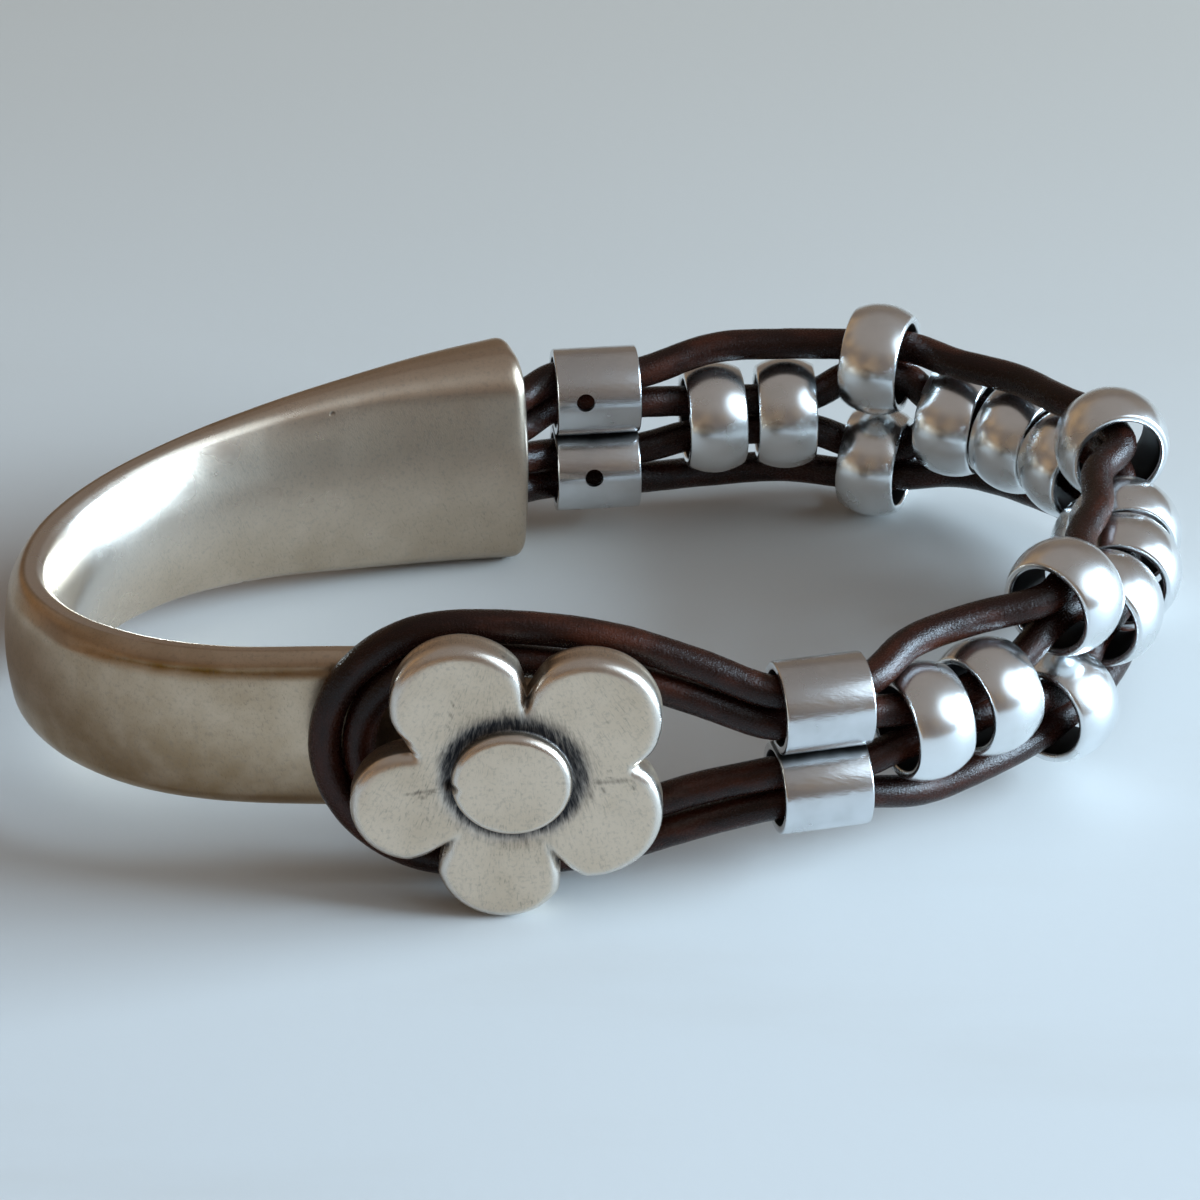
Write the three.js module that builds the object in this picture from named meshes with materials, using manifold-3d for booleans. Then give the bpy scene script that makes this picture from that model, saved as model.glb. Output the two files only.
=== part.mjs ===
// Leather and cast-metal bracelet, lying on its side as it is put down on a table.
//
// A cast half cuff goes round one side of the wrist. Its thick end is a socket for four runs
// of round leather; its thin end carries a flower button on a short post. Two leather cords,
// each folded in half, hook over that button with their folds. The four runs pass two double
// sliders and sixteen large-hole beads, and end in the socket.
//
// Everything is modelled in the bracelet's own ring frame first: X to the right, Y away from
// the flower side, Z along the axis of the wrist, with the middle of the band's width at
// Z = 0. The last section lays the ring down on the table. Millimetres, +Z up.

import * as THREE from 'three';
import { mergeVertices } from 'three/addons/utils/BufferGeometryUtils.js';
import Module from 'manifold-3d';

const wasm = await Module();
wasm.setup();

// ---------------------------------------------------------------- driving dimensions

const CORD_DIAMETER = 2.2;
const CORD_SIDES = 8;
const CORD_STEP = 1.9;              // length of one straight step of a cord's tube
const CORD_SPACING = 2.4;           // centre to centre of two cords that share a hole

const BEAD_DIAMETER = 8;
const BEAD_LENGTH = 4.2;            // along the cords, between the two cut faces
const BEAD_BORE = 5.8;
const BEAD_LIP = 0.22;              // rounding between the bore and each cut face
const BEAD_SIDES = 16;
const HOLE_CLEARANCE = 0.34;        // least room between a cord and the end of a bead's bore
const PAIR_SPACING = 8.3;           // centre to centre of two beads, one above the other

const SLIDER_LENGTH = 6.0;
const SLIDER_BARREL = 6.2;          // outer diameter of each of the two barrels
const SLIDER_BORE = 5.0;
const SLIDER_SPACING = 6.14;        // the barrels overlap slightly, as one casting
const SLIDER_PINHOLE = 1.3;         // the small hole in each barrel, on the wrist's side
const PINHOLE_RISE = 12;            // degrees that the pinholes look up from the wrist's side
const PINHOLE_PLACES = [-1.0, -0.4]; // along the upper and the lower barrel, from its middle
const SLIDER_SIDES = 24;

const SOCKET_DEPTH = 9;
const SOCKET_MOUTH = { height: 11.2, width: 3.4 };
const SOCKET_FLOOR = { height: 10.6, width: 2.8 };
const SOCKET_RIM = 0.5;             // rounding of the outer edge round the socket's mouth
const CORD_IN_SOCKET = 6.5;         // how far the cords reach into the socket

const FLOWER = {
  x: -5.7,                          // centre of the button along the band
  z: 0.3,
  front: -26.1,                     // Y of the petals' flat face
  thickness: 2.8,
  petalRadius: 4.75,
  petalReach: 5.65,                 // from the flower's centre to a petal's centre
  notchDepth: 0.8,                  // how far the petals' meeting lines are cut in
  turn: 47.6,                       // degrees from +X to the first petal
  edge: 0.75,                       // rounding of the petals' front edge
  discRadius: 3.9,
  discHeight: 0.8,
  discEdge: 0.35,
  postRadius: 2.4,
};
const FLOWER_SIDES = 60;

const FOLD_GAP = 0.4;               // between the upper and the lower length of a folded cord
const LOOP = { x: -9.05, y: -21.05, z: 0.4, outerRadius: 8.95, innerRadius: 6.5 };

const LEAN = 2.48;                  // degrees: the flower reaches lower than the socket

// ---------------------------------------------------------------- general helpers

const degrees = THREE.MathUtils.degToRad;

/** A BufferGeometry from plain vertices and triangles. */
function meshFrom(vertices, triangles) {
  const geometry = new THREE.BufferGeometry();
  geometry.setAttribute('position', new THREE.Float32BufferAttribute(vertices.flatMap((v) => v.toArray()), 3));
  geometry.setIndex(triangles.flat());
  return geometry;
}

/** Skins a row of rings that have the same number of points, and closes both ends. */
function loft(rings) {
  const count = rings[0].length;
  const vertices = rings.flat();
  const triangles = [];
  for (let row = 0; row + 1 < rings.length; row += 1) {
    for (let i = 0; i < count; i += 1) {
      const a = row * count + i;
      const b = row * count + ((i + 1) % count);
      triangles.push([a, b, b + count], [a, b + count, a + count]);
    }
  }
  const last = (rings.length - 1) * count;
  const startHub = vertices.push(middleOf(rings[0])) - 1;
  const endHub = vertices.push(middleOf(rings[rings.length - 1])) - 1;
  for (let i = 0; i < count; i += 1) {
    const next = (i + 1) % count;
    triangles.push([startHub, next, i], [endHub, last + i, last + next]);
  }
  return facingOut(vertices, triangles);
}

/** The same mesh with its faces pointing out, whichever way round its rings were drawn. */
function facingOut(vertices, triangles) {
  const volume = triangles.reduce((sum, [a, b, c]) => (
    sum + vertices[a].dot(new THREE.Vector3().crossVectors(vertices[b], vertices[c]))
  ), 0);
  return meshFrom(vertices, volume > 0 ? triangles : triangles.map(([a, b, c]) => [a, c, b]));
}

/** The average of a ring's points. */
function middleOf(ring) {
  const sum = new THREE.Vector3();
  ring.forEach((point) => sum.add(point));
  return sum.divideScalar(ring.length);
}

/** A closed geometry as a solid that can be joined and cut. */
function toSolid(geometry) {
  const bare = geometry.clone();
  bare.deleteAttribute('normal');
  bare.deleteAttribute('uv');
  const merged = mergeVertices(bare, 1e-4);
  return new wasm.Manifold(new wasm.Mesh({
    numProp: 3,
    vertProperties: new Float32Array(merged.attributes.position.array),
    triVerts: new Uint32Array(merged.index.array),
  }));
}

/** A solid back as a geometry that can be drawn. */
function toGeometry(solid) {
  const mesh = solid.getMesh();
  const geometry = new THREE.BufferGeometry();
  geometry.setAttribute('position', new THREE.Float32BufferAttribute(mesh.vertProperties, 3));
  geometry.setIndex(new THREE.Uint32BufferAttribute(mesh.triVerts, 1));
  return geometry;
}

/** A cylinder between two points, for cutting and joining. */
function rod(from, to, radius, sides) {
  const along = new THREE.Vector3().subVectors(to, from);
  const geometry = new THREE.CylinderGeometry(radius, radius, along.length(), sides);
  geometry.applyQuaternion(new THREE.Quaternion().setFromUnitVectors(
    new THREE.Vector3(0, 1, 0),
    along.clone().normalize(),
  ));
  const middle = new THREE.Vector3().addVectors(from, to).multiplyScalar(0.5);
  return geometry.translate(middle.x, middle.y, middle.z);
}

// ---------------------------------------------------------------- finishes

const finish = (color, roughness, metalness) => new THREE.MeshStandardMaterial({ color, roughness, metalness });
const antiqueSilver = finish(0xb3a996, 0.38, 0.9);
const brightSilver = finish(0xc9c5bd, 0.2, 1);
const brownLeather = finish(0x2e1611, 0.45, 0);

/** A named piece of the bracelet. */
function piece(name, geometry, material) {
  const mesh = new THREE.Mesh(geometry, material);
  mesh.name = name;
  return mesh;
}

// ---------------------------------------------------------------- the cast half cuff

// From the socket's mouth round the back of the wrist to the tip under the flower. x and y
// are the middle of the metal's thickness.
const BAND_ROWS = [
  { x: -6.1, y: 19.9, height: 16.4, thickness: 6.7 },
  { x: -12.0, y: 18.0, height: 15.7, thickness: 5.2 },
  { x: -17.6, y: 15.8, height: 14.7, thickness: 3.7 },
  { x: -24.2, y: 12.8, height: 13.1, thickness: 2.8 },
  { x: -30.2, y: 8.8, height: 11.8, thickness: 2.5 },
  { x: -34.9, y: 3.7, height: 11.1, thickness: 2.8 },
  { x: -37.7, y: -2.5, height: 11.0, thickness: 3.1 },
  { x: -37.9, y: -8.4, height: 11.0, thickness: 3.0 },
  { x: -35.3, y: -12.9, height: 11.1, thickness: 2.8 },
  { x: -30.6, y: -16.2, height: 11.3, thickness: 2.5 },
  { x: -25.0, y: -17.8, height: 11.5, thickness: 2.2 },
  { x: -16.2, y: -18.1, height: 11.8, thickness: 2.0 },
  { x: -8.0, y: -18.1, height: 11.7, thickness: 2.0 },
  { x: -3.2, y: -18.1, height: 11.0, thickness: 2.0 },
  { x: -1.2, y: -18.1, height: 8.6, thickness: 1.9 },
  { x: -0.4, y: -18.1, height: 5.0, thickness: 1.7 },
];
const BAND_STEPS = 54;
const bandLine = new THREE.CatmullRomCurve3(BAND_ROWS.map((row) => new THREE.Vector3(row.x, row.y, 0)));
const bandSizes = new THREE.CatmullRomCurve3(
  BAND_ROWS.map((row) => new THREE.Vector3(row.height, row.thickness, 0)),
);

/** Outline of a rounded box: u across the thickness and w along the height. */
function roundedSection(thickness, height, inner, outer) {
  const points = [];
  const corner = (u, w, ru, rw, start) => {
    for (let i = 0; i <= 3; i += 1) {
      const angle = degrees(start + 30 * i);
      points.push(new THREE.Vector2(u + ru * Math.cos(angle), w + rw * Math.sin(angle)));
    }
  };
  const u = thickness / 2;
  const w = height / 2;
  corner(u - outer.u, -w + outer.w, outer.u, outer.w, 270);
  corner(u - outer.u, w - outer.w, outer.u, outer.w, 0);
  corner(-u + inner, w - inner, inner, inner, 90);
  corner(-u + inner, -w + inner, inner, inner, 180);
  return points;
}

/** Sets a flat section square to a line at one of its points. u points away from the wrist. */
function placeSection(section, origin, tangent) {
  const outward = new THREE.Vector3(tangent.y, -tangent.x, 0).normalize();
  return section.map((p) => new THREE.Vector3(
    origin.x + outward.x * p.x,
    origin.y + outward.y * p.x,
    origin.z + p.y,
  ));
}

/** The band's outline at a parameter of its line, drawn in by an inset at its edges. */
function bandRing(t, inset) {
  const size = bandSizes.getPoint(t);
  const thickness = size.y - 2 * inset;
  const height = size.x - 2 * inset;
  const inner = 0.26 * thickness;
  const outer = { u: 0.42 * thickness, w: 0.17 * height };
  const section = roundedSection(thickness, height, inner, outer);
  return placeSection(section, bandLine.getPoint(t), bandLine.getTangent(t));
}

/** The band with a rounded rim at the socket's mouth. */
function bandSolid() {
  const rimParameter = SOCKET_RIM / bandLine.getLength();
  const rings = [bandRing(0, SOCKET_RIM), bandRing(rimParameter, 0.15), bandRing(2 * rimParameter, 0)];
  for (let i = 1; i <= BAND_STEPS; i += 1) {
    rings.push(bandRing(i / BAND_STEPS, 0));
  }
  return loft(rings);
}

/** The hollow that the four cords are glued into, cut from the band's thick end. */
function socketHollow() {
  const rings = [];
  const overshoot = -1;
  for (const depth of [overshoot, 0, 0.5 * SOCKET_DEPTH, SOCKET_DEPTH]) {
    const share = Math.max(depth, 0) / SOCKET_DEPTH;
    const width = THREE.MathUtils.lerp(SOCKET_MOUTH.width, SOCKET_FLOOR.width, share);
    const height = THREE.MathUtils.lerp(SOCKET_MOUTH.height, SOCKET_FLOOR.height, share);
    const radius = 0.4 * width;
    const section = roundedSection(width, height, radius, { u: radius, w: radius });
    const at = bandLine.getPointAt(Math.max(depth, 0) / bandLine.getLength());
    const tangent = bandLine.getTangentAt(Math.max(depth, 0) / bandLine.getLength());
    at.addScaledVector(tangent, Math.min(depth, 0));
    rings.push(placeSection(section, at, tangent));
  }
  return loft(rings);
}

/** Distance from the flower's centre to its outline in a direction, in radians. */
function petalOutline(angle) {
  const step = degrees(72);
  const fromPetal = angle - degrees(FLOWER.turn);
  const offset = fromPetal - step * Math.round(fromPetal / step);
  const across = FLOWER.petalReach * Math.sin(offset);
  const petal = FLOWER.petalReach * Math.cos(offset) + Math.sqrt(FLOWER.petalRadius ** 2 - across ** 2);
  const intoNotch = Math.max(0, Math.abs(offset) - degrees(30)) / degrees(6);
  return petal - FLOWER.notchDepth * intoNotch;
}

/** The flower button with its raised disc and its post, as one turned stack of outlines. */
function flowerSolid() {
  const back = FLOWER.front + FLOWER.thickness;
  const discTop = FLOWER.front - FLOWER.discHeight;
  const bandMiddle = BAND_ROWS[12].y;
  const petals = (inset) => (angle) => petalOutline(angle) - inset;
  const round = (radius) => () => radius;
  const rows = [
    { y: bandMiddle, reach: round(FLOWER.postRadius) },
    { y: back, reach: round(FLOWER.postRadius) },
    { y: back, reach: petals(0.3) },
    { y: back - 0.3, reach: petals(0) },
    { y: FLOWER.front + FLOWER.edge, reach: petals(0) },
    { y: FLOWER.front + 0.3 * FLOWER.edge, reach: petals(0.3 * FLOWER.edge) },
    { y: FLOWER.front, reach: petals(FLOWER.edge) },
    { y: FLOWER.front, reach: round(FLOWER.discRadius) },
    { y: discTop + FLOWER.discEdge, reach: round(FLOWER.discRadius) },
    { y: discTop, reach: round(FLOWER.discRadius - FLOWER.discEdge) },
  ];
  return loft(rows.map((row) => {
    const ring = [];
    for (let i = 0; i < FLOWER_SIDES; i += 1) {
      const angle = (2 * Math.PI * i) / FLOWER_SIDES + degrees(FLOWER.turn);
      const reach = row.reach(angle);
      ring.push(new THREE.Vector3(
        FLOWER.x + reach * Math.cos(angle),
        row.y,
        FLOWER.z + reach * Math.sin(angle),
      ));
    }
    return ring;
  }));
}

const halfCuff = piece(
  'half_cuff',
  toGeometry(toSolid(bandSolid()).subtract(toSolid(socketHollow())).add(toSolid(flowerSolid()))),
  antiqueSilver,
);

// ---------------------------------------------------------------- the run of cords and beads

// The middle line of the four cords, from the socket's mouth round the beads to the loops at
// the flower: x, y and z. The soft run lifts a little at its far end from the cuff.
const RUN_POINTS = [
  [-6.1, 19.9, 0.0],
  [-0.4, 22.4, 0.0],
  [7.0, 23.9, 0.0],
  [14.0, 24.6, 0.1],
  [20.7, 24.6, 0.2],
  [27.0, 22.4, 0.2],
  [32.0, 18.4, 0.4],
  [35.2, 12.6, 0.7],
  [36.2, 5.6, 0.9],
  [35.5, -0.8, 0.9],
  [32.6, -7.1, 0.7],
  [27.6, -13.1, 0.4],
  [22.2, -17.1, 0.1],
  [15.9, -19.8, 0.0],
  [9.0, LOOP.y, 0.0],
  [0.0, LOOP.y, 0.0],
];
const runLine = new THREE.CatmullRomCurve3(RUN_POINTS.map((point) => new THREE.Vector3(...point)));
runLine.arcLengthDivisions = 800;

// What sits on the cords, and where its middle is along the run from the socket's mouth.
// lean is how far the first and the fourth cord pass outside (+) or inside (-) a middle bead.
const STATIONS = [
  { name: 'slider_socket', kind: 'slider', at: 6.3, turn: 0 },
  { name: 'bead_01', kind: 'single', at: 14.9, turn: 0, topLean: 0.6, lowLean: 1.3 },
  { name: 'bead_02', kind: 'single', at: 20.1, turn: 0, topLean: 0.6, lowLean: 1.3 },
  { name: 'bead_pair_a', kind: 'pair', at: 26.8, turn: -13 },
  { name: 'bead_03', kind: 'single', at: 32.6, turn: 0, topLean: -1.0, lowLean: 1.6 },
  { name: 'bead_04', kind: 'single', at: 37.8, turn: 0, topLean: -1.0, lowLean: 1.6 },
  { name: 'bead_05', kind: 'single', at: 43.2, turn: 0, topLean: -1.0, lowLean: 1.6 },
  { name: 'bead_pair_b', kind: 'pair', at: 48.75, turn: 0 },
  { name: 'bead_06', kind: 'single', at: 54.35, turn: 0, topLean: -2.0, lowLean: 0.2 },
  { name: 'bead_07', kind: 'single', at: 59.5, turn: 0, topLean: -2.0, lowLean: 0.2 },
  { name: 'bead_08', kind: 'single', at: 64.6, turn: 0, topLean: -2.0, lowLean: 0.2 },
  { name: 'bead_pair_c', kind: 'pair', at: 70.7, turn: 0 },
  { name: 'bead_09', kind: 'single', at: 78.3, turn: 0, topLean: -2.0, lowLean: 0.0 },
  { name: 'bead_10', kind: 'single', at: 83.5, turn: 0, topLean: -2.0, lowLean: 0.0 },
  { name: 'slider_flower', kind: 'slider', at: 90.9, turn: 0 },
];

/** A place on the run: its middle, its direction and the way out from the wrist. */
function placeOnRun(at) {
  const share = at / runLine.getLength();
  const middle = runLine.getPointAt(share);
  const along = runLine.getTangentAt(share).setZ(0).normalize();
  const outward = new THREE.Vector3(-along.y, along.x, 0);
  return { middle, along, outward };
}

/** A bead, cut flat at both ends, with its bore along X. */
function beadGeometry() {
  const radius = BEAD_DIAMETER / 2;
  const bore = BEAD_BORE / 2;
  const half = BEAD_LENGTH / 2;
  const widest = Math.asin(half / radius);
  const arcSteps = 5;
  const profile = [new THREE.Vector2(bore, -half + BEAD_LIP), new THREE.Vector2(bore + BEAD_LIP, -half)];
  for (let i = 0; i <= arcSteps; i += 1) {
    const angle = widest * ((2 * i) / arcSteps - 1);
    profile.push(new THREE.Vector2(radius * Math.cos(angle), radius * Math.sin(angle)));
  }
  profile.push(new THREE.Vector2(bore + BEAD_LIP, half), new THREE.Vector2(bore, half - BEAD_LIP));
  profile.push(profile[0].clone());
  return new THREE.LatheGeometry(profile, BEAD_SIDES).rotateZ(-Math.PI / 2);
}

/** A double slider: two barrels side by side, with their bores along X and the wrist at -Y. */
function sliderGeometry() {
  const end = SLIDER_LENGTH / 2;
  const cutEnd = end + 1;
  const middles = [SLIDER_SPACING / 2, -SLIDER_SPACING / 2];
  const barrels = middles.map((z) => toSolid(rod(
    new THREE.Vector3(-end, 0, z),
    new THREE.Vector3(end, 0, z),
    SLIDER_BARREL / 2,
    SLIDER_SIDES,
  )));
  const bores = middles.map((z) => toSolid(rod(
    new THREE.Vector3(-cutEnd, 0, z),
    new THREE.Vector3(cutEnd, 0, z),
    SLIDER_BORE / 2,
    SLIDER_SIDES,
  )));
  const pinholes = middles.map((z, order) => toSolid(rod(
    new THREE.Vector3(
      PINHOLE_PLACES[order],
      -SLIDER_BARREL * Math.cos(degrees(PINHOLE_RISE)),
      z + SLIDER_BARREL * Math.sin(degrees(PINHOLE_RISE)),
    ),
    new THREE.Vector3(PINHOLE_PLACES[order], 0, z),
    SLIDER_PINHOLE / 2,
    12,
  )));
  let solid = barrels[0].add(barrels[1]);
  for (const hole of [...bores, ...pinholes]) {
    solid = solid.subtract(hole);
  }
  return toGeometry(solid);
}

/** A piece threaded on the run: square to it, at a height above the run's middle line. */
function threaded(name, geometry, station, height) {
  const { middle, along } = placeOnRun(station.at);
  const mesh = piece(name, geometry, brightSilver);
  mesh.position.set(middle.x, middle.y, middle.z + height);
  mesh.rotation.z = Math.atan2(along.y, along.x) + degrees(station.turn);
  return mesh;
}

const bead = beadGeometry();
const slider = sliderGeometry();
const threadedPieces = STATIONS.flatMap((station) => {
  if (station.kind === 'slider') {
    return [threaded(station.name, slider, station, 0)];
  }
  if (station.kind === 'pair') {
    return [
      threaded(`${station.name}_upper`, bead, station, PAIR_SPACING / 2),
      threaded(`${station.name}_lower`, bead, station, -PAIR_SPACING / 2),
    ];
  }
  return [threaded(station.name, bead, station, 0)];
});

// ---------------------------------------------------------------- the leather cords

// Heights of the two loops over the middle of the button, on their way from the slider.
const LOOP_ROWS = [
  { x: 6.2, outer: 6.1, inner: 3.5 },
  { x: 0.6, outer: 8.05, inner: 5.45 },
  { x: -4.6, outer: 8.85, inner: 6.35 },
];

/** How high the four cords run at a station, from the top one to the lowest. */
function cordOffsets(station) {
  const half = CORD_SPACING / 2;
  if (station.kind === 'single') {
    const clearance = BEAD_DIAMETER / 2 + CORD_DIAMETER / 2 + 0.2;
    const above = Math.sqrt(clearance ** 2 - station.topLean ** 2);
    const below = Math.sqrt(clearance ** 2 - station.lowLean ** 2);
    return [
      { out: station.topLean, up: above },
      { out: 0, up: half },
      { out: 0, up: -half },
      { out: station.lowLean, up: -below },
    ];
  }
  const centre = (station.kind === 'pair' ? PAIR_SPACING : SLIDER_SPACING) / 2;
  return [centre + half, centre - half, half - centre, -half - centre].map((up) => ({ out: 0, up }));
}

/** A cord's height where it leaves a hole on its way to the next hole at another height. */
function heightAtHoleEnd(height, nextHeight, holeHeight) {
  const room = (BEAD_BORE - CORD_DIAMETER) / 2 - HOLE_CLEARANCE;
  const wanted = (height + nextHeight) / 2;
  return THREE.MathUtils.clamp(wanted, holeHeight - room, holeHeight + room);
}

/** The points of one run of cord, from inside the socket to the far side of its loop. */
function cordRoute(index) {
  const points = [];
  const socketHeight = CORD_SPACING * (1.5 - index);
  for (const depth of [CORD_IN_SOCKET, CORD_IN_SOCKET / 2, 0]) {
    points.push(bandLine.getPointAt(depth / bandLine.getLength()).setZ(socketHeight));
  }
  STATIONS.forEach((station, order) => {
    const { middle, along, outward } = placeOnRun(station.at);
    const offset = cordOffsets(station)[index];
    const centre = middle.clone().addScaledVector(outward, offset.out);
    centre.z += offset.up;
    const passesThrough = station.kind !== 'single' || index === 1 || index === 2;
    const reach = (station.kind === 'slider' ? SLIDER_LENGTH : BEAD_LENGTH) / 2;
    const aboveMiddle = station.kind === 'pair' ? Math.sign(offset.up) * PAIR_SPACING / 2 : 0;
    for (const side of passesThrough ? [-1, 0, 1] : [0]) {
      const point = centre.clone().addScaledVector(along, side * reach);
      const neighbour = STATIONS[order + side];
      if (side !== 0 && station.kind !== 'slider' && neighbour) {
        const nextHeight = placeOnRun(neighbour.at).middle.z + cordOffsets(neighbour)[index].up;
        point.z = heightAtHoleEnd(centre.z, nextHeight, middle.z + aboveMiddle);
      }
      points.push(point);
    }
  });
  const outer = index === 0 || index === 3;
  const sign = index < 2 ? 1 : -1;
  for (const row of LOOP_ROWS) {
    const height = outer ? row.outer : row.inner;
    points.push(new THREE.Vector3(row.x, LOOP.y, LOOP.z + sign * height));
  }
  const radius = outer ? LOOP.outerRadius : LOOP.innerRadius;
  const halfGap = FOLD_GAP / 2 / radius;
  const arcSteps = 8;
  for (let i = 0; i <= arcSteps; i += 1) {
    const angle = Math.PI / 2 + (Math.PI / 2 - halfGap) * (i / arcSteps);
    points.push(new THREE.Vector3(
      LOOP.x + radius * Math.cos(angle),
      LOOP.y,
      LOOP.z + sign * radius * Math.sin(angle),
    ));
  }
  return points;
}

/** A round cord along a route. */
function cordGeometry(points) {
  const path = new THREE.CatmullRomCurve3(points);
  path.arcLengthDivisions = 1000;
  const outline = new THREE.Shape();
  for (let i = 0; i < CORD_SIDES; i += 1) {
    const angle = (2 * Math.PI * i) / CORD_SIDES;
    const x = (CORD_DIAMETER / 2) * Math.cos(angle);
    const y = (CORD_DIAMETER / 2) * Math.sin(angle);
    if (i === 0) {
      outline.moveTo(x, y);
    } else {
      outline.lineTo(x, y);
    }
  }
  outline.closePath();
  const steps = Math.round(path.getLength() / CORD_STEP);
  return new THREE.ExtrudeGeometry(outline, { steps, bevelEnabled: false, extrudePath: path });
}

const CORD_NAMES = ['cord_1_upper', 'cord_2_upper', 'cord_2_lower', 'cord_1_lower'];
const cords = CORD_NAMES.map((name, index) => piece(name, cordGeometry(cordRoute(index)), brownLeather));

// ---------------------------------------------------------------- laid on the table

const ring = new THREE.Group();
ring.add(halfCuff, ...threadedPieces, ...cords);
ring.rotation.x = -degrees(LEAN);

const bracelet = new THREE.Group();
bracelet.add(ring);
const extent = new THREE.Box3().setFromObject(bracelet, true);
const centre = extent.getCenter(new THREE.Vector3());
bracelet.position.set(-centre.x, -centre.y, -extent.min.z);

export default bracelet;
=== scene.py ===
# %% [markdown]
# # A half-cuff bracelet with a flower button
# The real thing has four kinds of piece: a cast half cuff that ends in a flower button, two
# folded leather cords that hook over the button, two double sliders and sixteen large-hole
# beads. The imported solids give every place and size. Their facets are right for weight and
# collision but too coarse for the eye, so each is replaced here by a finer piece of the same
# size, with its real finish, on a pale table in soft light.

# %% Load the frame
import math

import bmesh
import bpy
import numpy as np
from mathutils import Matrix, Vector, noise


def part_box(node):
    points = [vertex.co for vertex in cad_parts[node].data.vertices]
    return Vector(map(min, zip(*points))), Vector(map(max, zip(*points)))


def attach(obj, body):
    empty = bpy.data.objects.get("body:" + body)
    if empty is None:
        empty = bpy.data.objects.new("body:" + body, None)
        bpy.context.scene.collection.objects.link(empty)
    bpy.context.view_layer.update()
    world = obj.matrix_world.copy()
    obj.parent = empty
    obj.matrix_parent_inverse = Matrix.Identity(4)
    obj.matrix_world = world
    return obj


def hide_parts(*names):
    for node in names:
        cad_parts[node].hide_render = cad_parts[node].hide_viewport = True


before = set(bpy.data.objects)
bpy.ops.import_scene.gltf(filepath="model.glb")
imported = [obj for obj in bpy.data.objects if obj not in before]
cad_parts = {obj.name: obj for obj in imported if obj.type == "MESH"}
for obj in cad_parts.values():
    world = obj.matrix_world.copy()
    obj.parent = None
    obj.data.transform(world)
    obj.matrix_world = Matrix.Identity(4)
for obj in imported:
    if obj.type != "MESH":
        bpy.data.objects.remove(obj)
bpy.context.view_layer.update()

# %% [markdown]
# ## One frame for all pieces
# Each piece could be placed by hand in the scene, but a bracelet is easiest to describe in its
# own ring: X to the right, Y away from the flower, Z along the wrist, in millimetres. Then the
# whole ring is laid down: it leans by a few degrees, because the flower reaches lower than the
# socket. The middle line of the four runs of cord is one smooth curve through a few points.

# %% The ring and how it lies
MM = 0.001
LEAN = math.radians(2.48)

LOOP = {"x": -9.05, "y": -21.05, "z": 0.4, "outer": 8.95, "inner": 6.68}
RUN_POINTS = [
    (-6.1, 19.9, 0.0), (-0.4, 22.4, 0.0), (7.0, 23.9, 0.0), (14.0, 24.6, 0.1),
    (20.7, 24.6, 0.2), (27.0, 22.4, 0.2), (32.0, 18.4, 0.4), (35.2, 12.6, 0.7),
    (36.2, 5.6, 0.9), (35.5, -0.8, 0.9), (32.6, -7.1, 0.7), (27.6, -13.1, 0.4),
    (22.2, -17.1, 0.1), (15.9, -19.8, 0.0), (9.0, LOOP["y"], 0.0), (0.0, LOOP["y"], 0.0),
]


class SmoothPath:
    """A centripetal Catmull-Rom curve through points, with its length measured."""

    def __init__(self, points, divisions=800):
        self.points = np.array(points, float)
        table = np.array([self.at_parameter(i / divisions) for i in range(divisions + 1)])
        steps = np.linalg.norm(np.diff(table, axis=0), axis=1)
        self.lengths = np.concatenate([[0.0], np.cumsum(steps)])
        self.parameters = np.linspace(0, 1, divisions + 1)
        self.length = self.lengths[-1]

    def at_parameter(self, t):
        """The point at a share t of the knots."""
        knots = self.points
        last = len(knots) - 1
        place = min(max(t, 0.0), 1.0) * last
        i = min(int(place), last - 1)
        weight = place - i
        p1, p2 = knots[i], knots[i + 1]
        p0 = knots[i - 1] if i > 0 else 2 * p1 - p2
        p3 = knots[i + 2] if i + 2 <= last else 2 * p2 - p1
        pairs = ((p0, p1), (p1, p2), (p2, p3))
        d0, d1, d2 = (max(np.linalg.norm(b - a), 1e-8) ** 0.5 for a, b in pairs)
        t1 = ((p1 - p0) / d0 - (p2 - p0) / (d0 + d1) + (p2 - p1) / d1) * d1
        t2 = ((p2 - p1) / d1 - (p3 - p1) / (d1 + d2) + (p3 - p2) / d2) * d1
        return (
            p1 + t1 * weight
            + (3 * (p2 - p1) - 2 * t1 - t2) * weight ** 2
            + (2 * (p1 - p2) + t1 + t2) * weight ** 3
        )

    def parameter(self, distance):
        return float(np.interp(distance, self.lengths, self.parameters))

    def at(self, distance):
        """The point at a distance along the curve."""
        return self.at_parameter(self.parameter(distance))

    def heading(self, t):
        """The unit tangent at a share t of the knots."""
        step = self.at_parameter(t + 1e-4) - self.at_parameter(t - 1e-4)
        return step / np.linalg.norm(step)


run = SmoothPath(RUN_POINTS)


def place_on_run(distance):
    """A place on the run of cords: its middle, its direction and the way out from the wrist."""
    along = run.heading(run.parameter(distance)) * (1, 1, 0)
    along /= np.linalg.norm(along)
    return run.at(distance), along, np.array([-along[1], along[0], 0.0])


def lean(points):
    """Turns ring points about X as the ring leans on the table."""
    x, y, z = np.asarray(points, float).reshape(-1, 3).T
    return np.column_stack([
        x,
        y * math.cos(LEAN) + z * math.sin(LEAN),
        z * math.cos(LEAN) - y * math.sin(LEAN),
    ])


print("run of cords in mm:", round(run.length, 1), "its middle:", run.at(run.length / 2).round(1))

# %% [markdown]
# ## What is threaded, and where
# The list holds the sliders and beads from the socket to the flower, with the distance of
# each along the run, as in the solids. A bead has the same box centre as its solid, so the
# first bead tells how far the ring was shifted when it was laid down, and the others check it.

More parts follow.
